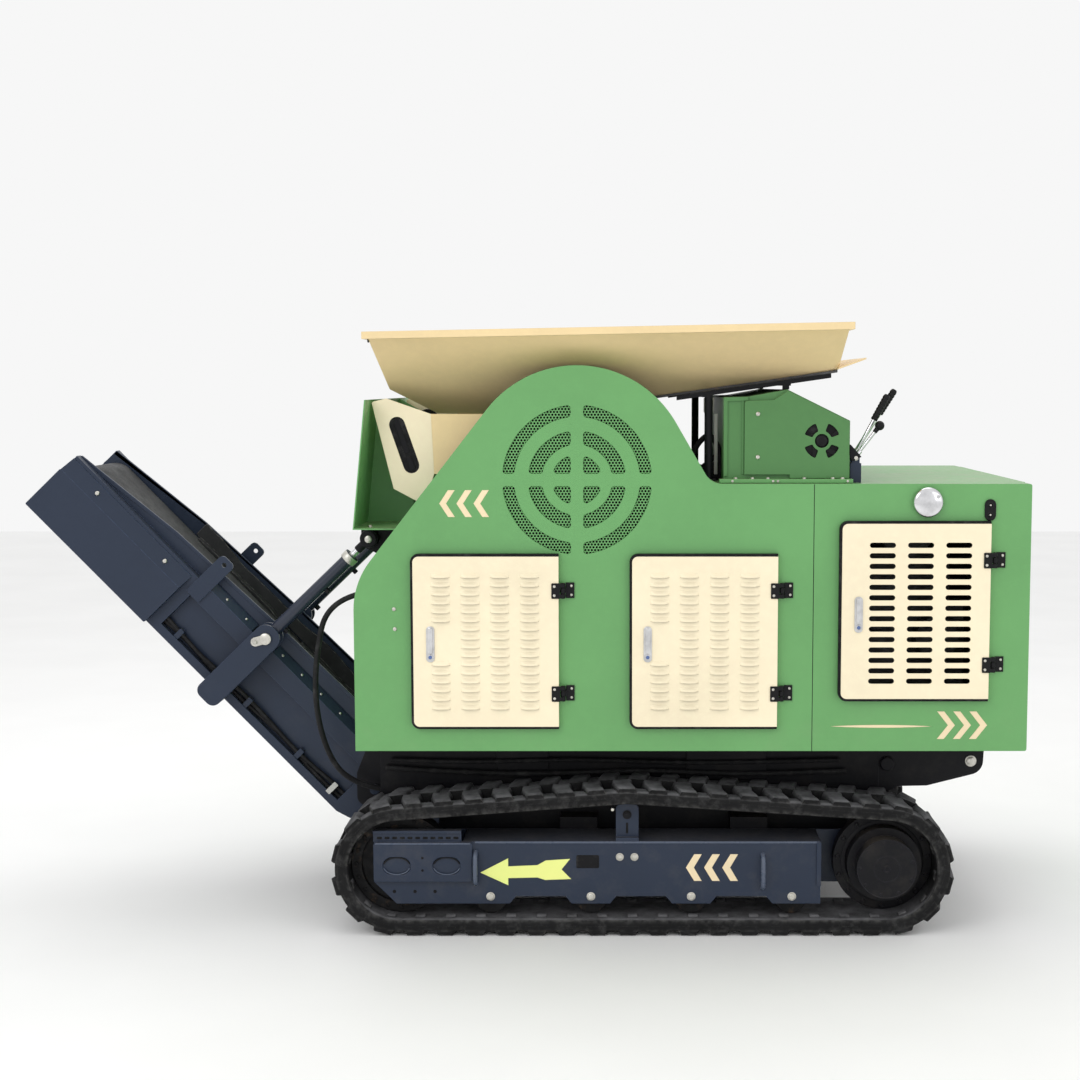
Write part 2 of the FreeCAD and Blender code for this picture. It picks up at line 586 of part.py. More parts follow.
def end_guard():
    t = 4.0
    y = HALF_WIDTH - GUARD_INSET
    low, high = (-486.0, 1274.0), (-445.0, 1676.0)
    left = prism([low, high, (high[0] + t, high[1]), (low[0] + t, low[1])], -y, y)
    back = prism([(low[0] + t, low[1]), (high[0] + t, high[1]), (-330, 1610), (-330, 1310), (slope_x(1278), 1278),
                  (slope_x(1274), 1274)], -256, -252)
    floor = prism([(low[0], 1274), (low[0], 1278), (slope_x(1278), 1278), (slope_x(1274), 1274)], -y, -252)
    return fuse([left, back, mirror(back), floor, mirror(floor)])


# ------------------------------------------------------------------ top cabinet, levers, small fittings

def cabinet():
    y1 = HALF_WIDTH - CABINET_INSET
    y0 = -y1
    body = prism([(664, DECK_Z), (664, 1684), (740, 1686), (861, 1708), (1055, 1612), (1055, DECK_Z)], y0, y1)
    cover = prism([(728, 1446), (728, 1673, 10), (818, 1676), (861, 1704), (1052, 1610), (1052, 1434), (868, 1434),
                   (868, 1446)], y0 - 12, y0)
    return {"cabinet": body, "cabinet_cover": cover}


LEVER_X, LEVER_Z = 1075.0, 1497.0
LEVER_Y, LEVER_STEP = 90.0 - HALF_WIDTH, 32.0
LEVERS = {"lever_short": (LEVER_Y, (1151.0, 1596.0)),
          "lever_left": (LEVER_Y + LEVER_STEP, (1176.0, 1685.0)),
          "lever_right": (LEVER_Y + 2 * LEVER_STEP, (1203.0, 1701.0))}


def lever(name):
    y, (tx, tz) = LEVERS[name]
    d = V(tx - LEVER_X, 0, tz - LEVER_Z)
    n = V(d).normalize()
    start = V(LEVER_X, y, LEVER_Z)
    hub = cyl_y(LEVER_X, LEVER_Z, y - 9, y + 9, 12)
    rod = Part.makeCylinder(5.5 if name == "lever_short" else 6.5, d.Length - 5, start + n * 5, n)
    if name == "lever_short":
        tip = Part.makeSphere(15, start + d)
    else:
        tip = Part.makeCylinder(11, 92, start + d - n * 84, n)
    return fuse([hub, rod, tip]).cut(cyl_y(LEVER_X, LEVER_Z, y - 20, y + 20, 5 + RUN))


def lever_base():
    y0, y1 = LEVER_Y - 24, LEVER_Y + 2 * LEVER_STEP + 30
    body = box(1058, 1092, y0, y1, DECK_Z, 1480)
    ears = [box(1063, 1087, y, y + 6, 1480, 1509) for y in (y0, y1 - 6)]
    pin = cyl_y(LEVER_X, LEVER_Z, y0, y1, 5)
    return fuse([body, pin] + ears)


def small_parts():
    face = -HALF_WIDTH
    cap = fuse([cyl_y(1288, 1364, face - 8, face, 34), cyl_y(1288, 1364, face - 26, face - 8, 46)])
    socket = prism([(1462, 1307, 17), (1498, 1307, 17), (1498, 1373, 17), (1462, 1373, 17)], face - 8, face)
    return {"fuel_cap": cap, "socket_plate": socket, "lever_base": lever_base()}


def engine():
    block = [box(1060, 1480, -230, 230, FLOOR_Z, 1000), box(1110, 1440, -180, 180, 1000, 1180),
             cyl_y(1270, 1260, -330, 200, 90), box(1180, 1240, -100, 100, 1170, 1220),
             box(1500, 1560, -300, 300, FLOOR_Z, 1280), box(1470, 1510, -60, 60, 800, 1000),
             cyl_y(1130, 820, -330, -225, 110), cyl_y(1380, 900, -300, -225, 70)]
    tank = fuse([box(480, 820, -470, -150, FLOOR_Z, 1080), cyl(600, -330, 1080, V(0, 0, 1), 45, 40)])
    return {"engine": fuse(block), "hydraulic_tank": tank}


# ------------------------------------------------------------------ conveyor

def place(shape):
    s = shape.copy()
    s.rotate(V(0, 0, 0), V(0, 1, 0), CONV_DEG)
    s.translate(V(PIVOT_X, 0, PIVOT_Z))
    return s


def placed(x, z):
    a = math.radians(CONV_DEG)
    return PIVOT_X + x * math.cos(a) + z * math.sin(a), PIVOT_Z - x * math.sin(a) + z * math.cos(a)


def conveyor_side():
    """Near side of the conveyor frame, flat frame."""
    head = -CONV_LEN
    wall = prism([(head, 15), (head + 4, 76), (-1069, 121), (-600, 143), (60, 160, 30), (90, 60, 30), (90, -40, 30),
                  (40, -60), (-60, -60), (-60, 15)], -WALL_Y - 6, -WALL_Y)
    upper = box(head, 40, -RAIL_Y, -WALL_Y - 6, 15, 75)
    lower = prism([(head, -150), (head, -122), (20, -122), (14, -134, 8), (-36, -150, 30)], -RAIL_Y, -RAIL_Y + 40)
    posts = [box(x, x + 40, -RAIL_Y, -RAIL_Y + 40, -122, 15) for x in (head, -925, -612, -60, -20)]
    boss = cyl_y(0, 0, -RAIL_Y, -WALL_Y - 6, 42)
    pin = cyl_y(0, 0, -262, -RAIL_Y, PIVOT_PIN_R)
    tab = prism([(-905, 75), (-905, 190, 16), (-848, 190, 16), (-848, 75)], -RAIL_Y - 8, -RAIL_Y)
    tab_root = box(-905, -848, -RAIL_Y - 8, -RAIL_Y, 20, 80)
    tab = tab.cut(cyl_y(-876, 168, -260, -200, 8))
    ax, az = PIN_A
    clevis = []
    for y0, y1 in ((-CYL_Y - EYE_HALF - 17, -CYL_Y - EYE_HALF - 7), (-CYL_Y + EYE_HALF + 7, -CYL_Y + EYE_HALF + 17)):
        clevis.append(prism([(ax - 44, -176, 28), (ax - 44, az + 44, 40), (ax + 44, az + 44, 40), (ax + 44, -176, 28)],
                            y0, y1))
    web = box(ax - 44, ax + 44, -CYL_Y - EYE_HALF - 10, -RAIL_Y, -149, -110)
    pin_a = cyl_y(ax, az, -CYL_Y - EYE_HALF - 17, -CYL_Y + EYE_HALF + 17, 15)
    return fuse([wall, upper, lower, boss, pin, tab, tab_root, web, pin_a] + posts + clevis)


def conveyor():
    near = conveyor_side()
    ties = [box(x, x + 40, -WALL_Y - 5, WALL_Y + 5, -150, -122) for x in (-CONV_LEN, -925, -612, -60)]
    ties += [box(x, x + 30, -WALL_Y, WALL_Y, -20, 20) for x in (-1150, -780, -420)]
    skirts = [box(-1060, -60, s * WALL_Y - (0 if s < 0 else 8), s * WALL_Y + (8 if s < 0 else 0), 80, 112)
              for s in (-1, 1)]
    frame = fuse([near, mirror(near)] + ties)
    loop = []
    r = PULLEY_R
    for rr in (r + BELT_T, r):
        a = box(HEAD_X, 0, -BELT_HALF, BELT_HALF, -rr, rr)
        loop.append(fuse([a, cyl_y(HEAD_X, 0, -BELT_HALF, BELT_HALF, rr), cyl_y(0, 0, -BELT_HALF, BELT_HALF, rr)]))
    belt = loop[0].cut(loop[1])
    pulleys = Part.makeCompound([cyl_y(x, 0, -WALL_Y, WALL_Y, r).cut(
        Part.makeCompound([cyl_y(x, 0, -WALL_Y - 1, -BELT_HALF, r + 1).cut(cyl_y(x, 0, -WALL_Y - 1, -BELT_HALF, 20)),
                           cyl_y(x, 0, BELT_HALF, WALL_Y + 1, r + 1).cut(
                               cyl_y(x, 0, BELT_HALF, WALL_Y + 1, 20))])) for x in (HEAD_X, 0.0)])
    cover = prism([(-CONV_LEN - 3, -150, 4), (-CONV_LEN - 3, 14, 4), (-925, 14, 4), (-925, -150, 4)],
                  -RAIL_Y - 30, -RAIL_Y)
    return {"conveyor_frame": place(frame), "conveyor_skirts": place(Part.makeCompound(skirts)),
            "conveyor_belt": place(belt), "conveyor_pulleys": place(pulleys), "head_cover": place(cover)}


def cylinder_parts():
    ax, az = placed(*PIN_A)
    bx, bz = PIN_B
    a, b = V(ax, -CYL_Y, az), V(bx, -CYL_Y, bz)
    n = (b - a).normalize()
    span = (b - a).Length
    eye_a = cyl_y(ax, az, -CYL_Y - EYE_HALF, -CYL_Y + EYE_HALF, 28)
    tube = Part.makeCylinder(21.5, span - 78 - 26, a + n * 26, n)
    collar = Part.makeCylinder(26, 22, a + n * (span - 100), n)
    barrel = fuse([eye_a, tube, collar])
    barrel = barrel.cut(cyl_y(ax, az, -400, -200, 15 + RUN))
    barrel = barrel.cut(Part.makeCylinder(11 + RUN, span, a + n * 60, n))
    rod = Part.makeCylinder(11, span - 80 - 20, a + n * 80, n)
    eye_b = cyl_y(bx, bz, -CYL_Y - EYE_HALF, -CYL_Y + EYE_HALF, 30)
    neck = Part.makeCylinder(14, 34, b - n * 56, n)
    rod = fuse([rod, eye_b, neck]).cut(cyl_y(bx, bz, -400, -200, 18))
    bracket = prism([(bx - 30, 1274), (bx - 30, bz - 26, 26), (bx + 40, bz - 60, 20), (slope_x(1180) - 1, 1180),
                     (slope_x(1274), 1274)], -CYL_Y + EYE_HALF + 5, -CYL_Y + EYE_HALF + 15)
    pin_b = cyl_y(bx, bz, -CYL_Y - EYE_HALF - 12, -CYL_Y + EYE_HALF + 5, 12.5)
    head = cyl_y(bx, bz, -CYL_Y - EYE_HALF - 12, -CYL_Y - EYE_HALF - 5, 24)
    bracket = fuse([bracket, pin_b, head])
    print("pin A", round(ax, 3), round(az, 3), "pin B", bx, bz, "span", round(span, 3), "dir", n)
    return {"lift_barrels": pair(barrel), "lift_rods": pair(rod), "lift_brackets": pair(bracket)}


# ------------------------------------------------------------------ hoses

HOSE_R = 9.0
HOSE_BODY = [(-479, -410, 1060), (-590, -405, 1035), (-634, -395, 860), (-640, -380, 660), (-590, -350, 480),
             (-500, -312, 410), (-443, -300, 398)]


def hose(points, r):
    pts = [V(*p) for p in points]
    runs = [(b - a).Length for a, b in zip(pts, pts[1:])]
    edges, last, radii = [], pts[0], []
    for i in range(1, len(pts) - 1):
        a, b = (pts[i - 1] - pts[i]).normalize(), (pts[i + 1] - pts[i]).normalize()
        half = (math.pi - a.getAngle(b)) / 2
        radius = 0.45 * min(runs[i - 1], runs[i]) / math.tan(half)
        p, m, q = turn_points(pts[i - 1], pts[i], pts[i + 1], radius)
        edges += [Part.makeLine(last, p), Part.Arc(p, m, q).toShape()]
        last = q
        radii.append(round(radius, 1))
    edges.append(Part.makeLine(last, pts[-1]))
    wire = Part.Wire(edges)
    d = (pts[1] - pts[0]).normalize()
    ring = Part.Wire([Part.makeCircle(r, pts[0], d)])
    tube = wire.makePipeShell([ring], True, True)
    print("hose runs", [round(x, 1) for x in runs], "radii", radii, "length", round(wire.Length, 1))
    return tube


# ------------------------------------------------------------------ all together

def build():
    nodes = {}
    nodes.update(housing())
    nodes["hinge_seats"] = hinge_seats()
    far = []
    for name in DOORS:
        nodes[name] = door_leaf(name, DOOR_GAP)
        nodes[name + "_fittings"] = door_fittings(name)
        far.append(mirror(door_leaf(name, 0)))
    nodes["far_doors"] = Part.makeCompound(far)
    nodes.update(undercarriage())
    nodes["chassis_frame"] = chassis()
    nodes["rear_bracket"] = rear_bracket()
    nodes.update(crusher())
    nodes["hopper"] = hopper()
    nodes.update(feeder())
    nodes.update(inlet())
    nodes["end_guard"] = end_guard()
    nodes.update(cabinet())
    nodes.update(small_parts())
    for name in LEVERS:
        nodes[name] = lever(name)
    nodes.update(engine())
    nodes.update(conveyor())
    nodes.update(cylinder_parts())
    nodes["hose_body"] = hose(HOSE_BODY, HOSE_R)
    return nodes


def main():
    nodes = build()
    whole = Part.makeCompound([s for n, s in nodes.items() if not n.startswith("hose")])
    b = whole.optimalBoundingBox(False)
    shift = V(-(b.XMin + b.XMax) / 2, -(b.YMin + b.YMax) / 2, -b.ZMin)
    print("shift", shift, "size", b.XLength, b.YLength, b.ZLength, "nodes", len(nodes))
    for name, shape in nodes.items():
        moved = shape.copy()
        moved.translate(shift)
        bad = [s for s in moved.Solids if not s.isValid()]
        if bad or not moved.Solids:
            print("CHECK", name, "solids", len(moved.Solids), "invalid", len(bad))
        moved.exportStep("parts/" + name + ".step")
    for name, (x0, x1, z0, z1) in DOORS.items():
        p = V(x1 + HINGE_OFF, -HALF_WIDTH - DOOR_GAP - DOOR_T + 7, (z0 + z1) / 2) + shift
        print("joint", name, [round(c / 1000, 5) for c in p])
    for label, p in (("conveyor", V(PIVOT_X, 0, PIVOT_Z)), ("barrel", V(placed(*PIN_A)[0], 0, placed(*PIN_A)[1])),
                     ("lever", V(LEVER_X, LEVER_Y + LEVER_STEP, LEVER_Z))):
        print("joint", label, [round(c / 1000, 5) for c in p + shift])


main()
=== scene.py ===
import random
from math import asin, atan2, cos, dist, hypot, pi, radians, sin, sqrt, tan

import bpy
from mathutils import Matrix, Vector


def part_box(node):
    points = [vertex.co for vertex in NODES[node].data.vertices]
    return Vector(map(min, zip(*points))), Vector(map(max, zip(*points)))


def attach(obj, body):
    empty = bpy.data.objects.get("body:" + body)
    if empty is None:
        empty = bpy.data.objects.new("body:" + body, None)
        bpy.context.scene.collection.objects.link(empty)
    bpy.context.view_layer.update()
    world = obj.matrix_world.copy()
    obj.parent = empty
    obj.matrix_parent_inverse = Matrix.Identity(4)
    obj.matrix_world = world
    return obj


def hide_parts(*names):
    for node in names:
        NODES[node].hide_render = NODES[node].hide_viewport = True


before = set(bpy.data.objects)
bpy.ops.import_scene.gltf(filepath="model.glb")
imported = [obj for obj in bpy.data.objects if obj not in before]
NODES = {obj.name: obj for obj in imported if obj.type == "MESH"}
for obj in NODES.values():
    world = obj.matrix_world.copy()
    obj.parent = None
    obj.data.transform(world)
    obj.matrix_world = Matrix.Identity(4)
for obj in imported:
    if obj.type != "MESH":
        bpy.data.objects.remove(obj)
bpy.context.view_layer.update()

random.seed(7)

# ---- the machine frame, in millimetres

cap_low, cap_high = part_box("fuel_cap")
SHIFT = (cap_low.x + cap_high.x) * 500 - 1288
FACE = -590.0               # outer face of the near side sheets
FLY_X, FLY_Z = 212.0, 1432.0
PIVOT_X, PIVOT_Z, CONV = -470.0, 385.0, radians(46)


def P(x, y, z):
    """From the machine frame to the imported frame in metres."""
    return Vector(((x + SHIFT) / 1000, y / 1000, z / 1000))


def flat(x, y, z):
    return x, y, z


def mirrored(x, y, z):
    return x, -y, z


def conv(x, y, z):
    """From the conveyor's own flat frame to the machine frame."""
    return (PIVOT_X + x * cos(CONV) + z * sin(CONV), y,
            PIVOT_Z - x * sin(CONV) + z * cos(CONV))


def conv_far(x, y, z):
    return conv(x, -y, z)


def polar(x, z, r, a):
    """Point at radius r and angle a from a centre in x and z."""
    return x + r * cos(a), z + r * sin(a)


def new_object(name, data):
    obj = bpy.data.objects.new(name, data)
    bpy.context.scene.collection.objects.link(obj)
    return obj


def spline(curve, kind, points):
    line = curve.splines.new(kind)
    line.points.add(len(points) - 1)
    for point, p in zip(line.points, points):
        point.co = (*p, 1)
    return line


SIDES = (("near", flat), ("far", mirrored))
NEAR_OUT = (0, -1, 0)

# ---- camera

cam = new_object("camera", bpy.data.cameras.new("camera"))
cam.location = (0.3408, -5.727, 1.722)
cam.rotation_euler = (radians(84.72), 0, 0)
cam.data.lens, cam.data.sensor_width = 55.93, 36
cam.data.shift_x = -0.075
cam.data.clip_end = 60
bpy.context.scene.camera = cam
bpy.context.scene.view_settings.view_transform = "Standard"

# ---- materials


class Look:
    """A principled material with procedural colour, roughness and bump on object coordinates."""

    def __init__(self, name, **fixed):
        self.mat = bpy.data.materials.new(name)
        self.mat.use_nodes = True
        self.tree = self.mat.node_tree
        self.tree.nodes.clear()
        out = self.add("ShaderNodeOutputMaterial")
        self.shader = self.add("ShaderNodeBsdfPrincipled")
        self.link(self.shader.outputs[0], out.inputs[0])
        self.coord = self.add("ShaderNodeTexCoord").outputs["Object"]
        for key, value in fixed.items():
            self.shader.inputs[key.replace("_", " ")].default_value = value
        self.normal = None

    def add(self, kind, **props):
        node = self.tree.nodes.new(kind)
        for key, value in props.items():
            setattr(node, key, value)
        return node

    def link(self, a, b):
        self.tree.links.new(a, b)

    def put(self, socket, value):
        if isinstance(value, bpy.types.NodeSocket):
            self.link(value, socket)
        else:
            socket.default_value = value

    def noise(self, scale, detail=3.0, rough=0.55, stretch=None):
        node = self.add("ShaderNodeTexNoise")
        node.inputs["Scale"].default_value = scale
        node.inputs["Detail"].default_value = detail
        node.inputs["Roughness"].default_value = rough
        self.link(self.stretched(stretch) if stretch else self.coord, node.inputs["Vector"])
        return node.outputs["Fac"]

    def stretched(self, scale, turn=(0, 0, 0)):
        node = self.add("ShaderNodeMapping")
        self.link(self.coord, node.inputs["Vector"])
        node.inputs["Scale"].default_value = scale
        node.inputs["Rotation"].default_value = turn
        return node.outputs[0]

    def math(self, op, a, b=0.0, c=0.0):
        node = self.add("ShaderNodeMath", operation=op)
        for socket, value in zip(node.inputs, (a, b, c)):
            self.put(socket, value)
        return node.outputs[0]

    def times(self, a, b):
        return self.math("MULTIPLY", a, b)

    def span(self, value, low, high, to_low=0.0, to_high=1.0):
        node = self.add("ShaderNodeMapRange")
        self.put(node.inputs[0], value)
        for i, v in enumerate((low, high, to_low, to_high)):
            node.inputs[i + 1].default_value = v
        return node.outputs[0]

    def mix(self, fac, a, b, kind="MIX"):
        node = self.add("ShaderNodeMix", data_type="RGBA", blend_type=kind)
        self.put(node.inputs["Factor"], fac)
        for socket, value in ((node.inputs[6], a), (node.inputs[7], b)):
            self.put(socket, value if isinstance(value, bpy.types.NodeSocket) else (*value[:3], 1))
        return node.outputs[2]

    def axis(self, index):
        node = self.add("ShaderNodeSeparateXYZ")
        self.link(self.coord, node.inputs[0])
        return node.outputs[index]

    def facing_up(self):
        node = self.add("ShaderNodeSeparateXYZ")
        self.link(self.add("ShaderNodeNewGeometry").outputs["Normal"], node.inputs[0])
        return node.outputs[2]

    def round_edges(self, radius):
        node = self.add("ShaderNodeBevel", samples=4)
        node.inputs["Radius"].default_value = radius
        self.normal = node.outputs[0]
        return node.outputs[0]

    def edge(self, radius):
        """1 along edges, 0 on open faces."""
        dot = self.add("ShaderNodeVectorMath", operation="DOT_PRODUCT")
        self.link(self.normal or self.round_edges(radius), dot.inputs[0])
        self.link(self.add("ShaderNodeNewGeometry").outputs["True Normal"], dot.inputs[1])
        return self.span(dot.outputs["Value"], 0.995, 0.85)

    def bump(self, height, strength, distance):
        node = self.add("ShaderNodeBump")
        node.inputs["Strength"].default_value = strength
        node.inputs["Distance"].default_value = distance
        self.link(height, node.inputs["Height"])
        if self.normal:
            self.link(self.normal, node.inputs["Normal"])
        self.normal = node.outputs[0]

    def finish(self, colour, rough):
        self.put(self.shader.inputs["Base Color"], colour)
        self.put(self.shader.inputs["Roughness"], rough)
        if self.normal:
            self.link(self.normal, self.shader.inputs["Normal"])
        return self.mat


def shade(colour, k):
    return tuple(min(1.0, c * k) for c in colour)


DUST = (0.36, 0.31, 0.24)


def paint(name, colour, rough=0.42, dust=0.25, edge_wear_and_highlight=1.45, peel=0.06, gloss=0.45):
    """Powder-coated sheet: slight mottling, orange peel, edges painted lighter as wear and as painted
    highlight, and dust where it can lie.
    """
    m = Look(name, Specular_IOR_Level=gloss)
    edge = m.edge(0.0022)
    broad, fine = m.noise(2.3, 4), m.noise(38, 5, 0.65)
    c = m.mix(m.span(broad, 0.3, 0.7), shade(colour, 0.93), shade(colour, 1.06))
    c = m.mix(m.span(fine, 0.45, 0.75, 0, 0.35), c, shade(colour, 1.12))
    grime = m.times(m.span(m.noise(9, 6, 0.7), 0.5, 0.8), m.span(m.axis(2), 0.9, 0.2, 0.0, dust))
    c = m.mix(grime, c, shade(DUST, 0.75))
    lying = m.times(m.span(m.facing_up(), 0.6, 0.95), m.span(m.noise(15, 4), 0.35, 0.7, 0.1, dust * 1.6))
    c = m.mix(lying, c, DUST)
    # Edges painted lighter: partly wear, partly a painted highlight along the bends.
    c = m.mix(m.times(edge, m.span(m.noise(60, 3), 0.35, 0.6, 0.25, 0.8)), c, shade(colour, edge_wear_and_highlight))
    m.bump(m.noise(750, 2), peel, 0.0006)
    return m.finish(c, m.span(fine, 0.3, 0.7, rough - 0.05, rough + 0.07))


def rubber(name, colour, grain=240, worn=0.16, rough=0.72, ribs=None, lying=0.0):
    """Moulded rubber with a fine grain, grey scuffs on its edges and dust in its hollows."""
    m = Look(name, Specular_IOR_Level=0.16)
    edge = m.edge(0.004)
    c = m.mix(m.span(m.noise(7, 5), 0.3, 0.7), shade(colour, 0.75), shade(colour, 1.5))
    scuff = m.times(edge, m.span(m.noise(45, 4), 0.4, 0.62, 0.0, 0.9))
    c = m.mix(scuff, c, (worn, worn * 0.98, worn * 0.94))
    patch = m.times(m.span(m.noise(22, 6, 0.7), 0.52, 0.72), 0.5)
    c = m.mix(patch, c, (0.075, 0.074, 0.074))
    grain_h = m.math("ADD", m.noise(grain, 4, 0.6), m.times(m.noise(grain / 6, 4), 0.8))
    if lying:
        up = m.times(m.span(m.facing_up(), 0.3, 0.9), m.span(m.noise(12, 5, 0.7), 0.3, 0.65, 0.2, 1.0))
        c = m.mix(m.times(up, lying), c, (0.19, 0.19, 0.20))
    m.bump(grain_h, 0.35, 0.0012)
    if ribs:
        m.bump(ribs(m), 0.5, 0.0015)
    return m.finish(c, m.span(m.noise(30, 4), 0.3, 0.7, rough - 0.1, rough + 0.12))


def bare_metal(name, colour, rough, brushed=None, dirt=0.2):
    """Plated or brushed metal with blotches and specks of dirt."""
    m = Look(name, Metallic=1.0)
    m.edge(0.0008)
    blotch = m.noise(26, 5, 0.65)
    c = m.mix(m.span(blotch, 0.35, 0.7), colour, shade(colour, 0.72))
    c = m.mix(m.times(m.span(m.noise(80, 4), 0.55, 0.7), dirt), c, (0.12, 0.10, 0.08))
    m.bump(m.noise(420, 3, 0.6, brushed), 0.12 if brushed else 0.08, 0.0004)
    return m.finish(c, m.span(blotch, 0.3, 0.7, rough, rough + 0.14))


def cast(name, colour):
    """Rough cast iron with rusty patches."""
    m = Look(name, Metallic=0.55)
    m.edge(0.003)
    c = m.mix(m.span(m.noise(12, 6, 0.7), 0.35, 0.7), colour, shade(colour, 0.55))
    c = m.mix(m.times(m.span(m.noise(30, 6, 0.7), 0.55, 0.75), 0.45), c, (0.19, 0.12, 0.07))
    m.bump(m.noise(160, 6, 0.7), 0.5, 0.0014)
    return m.finish(c, m.span(m.noise(40, 3), 0.3, 0.7, 0.5, 0.75))


def braid(m):
    """Crossed spiral cords of a hose's woven cover."""
    waves = []
    for turn in (0.9, -0.9):
        w = m.add("ShaderNodeTexWave")
        w.inputs["Scale"].default_value = 95
        m.link(m.stretched((1, 1, 1), (0, turn, 0.4)), w.inputs["Vector"])
        waves.append(w.outputs["Fac"])
    return m.math("MAXIMUM", waves[0], waves[1])


GREEN = paint("green_paint", (0.142, 0.375, 0.128), 0.40)
DARK_GREEN = paint("dark_green_paint", (0.080, 0.225, 0.070), 0.42)
CREAM = paint("cream_paint", (0.94, 0.83, 0.60), 0.40, dust=0.1, edge_wear_and_highlight=1.1, peel=0.03)
TAN = paint("tan_paint", (0.86, 0.67, 0.37), 0.42, edge_wear_and_highlight=1.2)
NAVY = paint("navy_paint", (0.021, 0.031, 0.056), 0.36, edge_wear_and_highlight=3.6, dust=0.1, gloss=0.3)
# Lighter navy for beads, oval lips and eyes: a painted highlight on their rounded bends.
NAVY_HIGHLIGHT = paint("navy_painted_highlight", (0.075, 0.095, 0.14), 0.28, edge_wear_and_highlight=1.8, dust=0.05, gloss=0.5)
BLACK = paint("black_paint", (0.008, 0.008, 0.010), 0.42, edge_wear_and_highlight=4.0, dust=0.08, gloss=0.16)
GLOSS = paint("cylinder_paint", (0.020, 0.026, 0.045), 0.20, edge_wear_and_highlight=3.0, dust=0.05, peel=0.03)
TRACK = rubber("track_rubber", (0.009, 0.009, 0.0095), worn=0.13, lying=0.8)
BELT = rubber("belt_rubber", (0.026, 0.026, 0.027), 300, 0.12, 0.62, lying=0.35)
SKIRT = rubber("skirt_rubber", (0.030, 0.030, 0.032), 200, 0.30, 0.66)
SEAL = rubber("seal_rubber", (0.006, 0.006, 0.007), 400, 0.03, 0.5)
HOSE = rubber("hose_rubber", (0.012, 0.012, 0.013), 500, 0.07, 0.5, braid)
ZINC = bare_metal("zinc_plate", (0.72, 0.70, 0.64), 0.34)
CHROME = bare_metal("chrome_plate", (0.78, 0.78, 0.80), 0.09, dirt=0.05)
LATCH = bare_metal("latch_metal", (0.70, 0.70, 0.71), 0.30, (1, 1, 12), 0.05)
IRON = cast("cast_iron", (0.10, 0.10, 0.105))
GREASY = cast("greasy_iron", (0.016, 0.016, 0.017))
PLASTIC = paint("black_plastic", (0.006, 0.006, 0.007), 0.42, edge_wear_and_highlight=3.0, dust=0.05, peel=0.12, gloss=0.2)
STICKER = paint("cream_sticker", (0.90, 0.74, 0.48), 0.5, dust=0.06, edge_wear_and_highlight=1.05, peel=0.02)
ARROW = paint("arrow_sticker", (0.90, 1.0, 0.30), 0.45, dust=0.04, edge_wear_and_highlight=1.05, peel=0.02)
PALE = paint("pale_plastic", (0.55, 0.55, 0.52), 0.5, dust=0.1, edge_wear_and_highlight=1.2)
KEY = paint("key_disc", (0.10, 0.16, 0.36), 0.3, dust=0.02)

CAD_LOOKS = {
    GREEN: ["side_panel_near", "engine_panel_near", "side_panel_far", "end_plates", "engine_deck", "end_guard"],
    DARK_GREEN: ["cabinet", "crusher_frame"],
    CREAM: ["door_front", "door_middle", "far_doors"],
    TAN: ["hopper", "inlet_plates"],
    NAVY: ["track_frame_near", "track_frame_far", "lever_base", "conveyor_frame", "head_cover"],
    BLACK: ["final_drives", "chassis_frame", "rear_bracket", "discharge_chute", "feeder_frame",
            "hydraulic_tank", "lift_brackets", "flywheels"],
    PLASTIC: ["hinge_seats"],
    GREASY: ["idlers", "track_rollers"],
    SKIRT: ["conveyor_skirts"],
    BELT: ["conveyor_belt"],
    IRON: ["fixed_jaw", "swing_jaw", "feeder_pan", "engine"],
    ZINC: ["conveyor_pulleys"],
    GLOSS: ["lift_barrels"],
    CHROME: ["lift_rods"],
}
for look, names in CAD_LOOKS.items():
    for n in names:
        for s in NODES[n].material_slots:
            s.material = look

# ---- mesh helpers


def piece(name, body, parts, angle=38, replaces=()):
    """One object from (vertices in mm, faces, material) lists."""
    verts, faces, mats, index = [], [], [], []
    for vs, fs, mat in parts:
        base = len(verts)
        verts += [P(*v) for v in vs]
        faces += [tuple(i + base for i in f) for f in fs]
        if mat not in mats:
            mats.append(mat)
        index += [mats.index(mat)] * len(fs)
    mesh = bpy.data.meshes.new(name)
    mesh.from_pydata(verts, [], faces)
    for m in mats:
        mesh.materials.append(m)
    mesh.polygons.foreach_set("material_index", index)
    mesh.validate()
    mesh.shade_smooth()
    mesh.set_sharp_from_angle(angle=radians(angle))
    obj = new_object(name, mesh)
    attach(obj, body)
    if replaces:
        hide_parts(*replaces)
    return obj


def basis(axis):
    """Two directions square to an axis, and the axis."""
    w = Vector(axis).normalized()
    u = w.orthogonal().normalized()
    return u, w.cross(u), w


def lathe(profile, centre, axis, mat, n=28, turn=0.0):
    """Closed turned solid; the profile is (radius, height) from one end of the axis to the other."""
    u, v, w = basis(axis)
    c = Vector(centre)
    verts, faces, rings = [], [], []
    for r, h in profile:
        if r < 1e-6:
            rings.append([len(verts)] * n)
            verts.append(tuple(c + w * h))
            continue
        rings.append(list(range(len(verts), len(verts) + n)))
        for i in range(n):
            a = 2 * pi * i / n + turn
            verts.append(tuple(c + u * (r * cos(a)) + v * (r * sin(a)) + w * h))
    for a, b in zip(rings, rings[1:]):
        for i in range(n):
            j = (i + 1) % n
            quad = [a[i], a[j], b[j], b[i]]
            faces.append(tuple(dict.fromkeys(quad)))
    if len(set(rings[0])) > 1:
        faces.append(tuple(reversed(rings[0])))
    if len(set(rings[-1])) > 1:
        faces.append(tuple(rings[-1]))
    return verts, [f for f in faces if len(f) > 2], mat


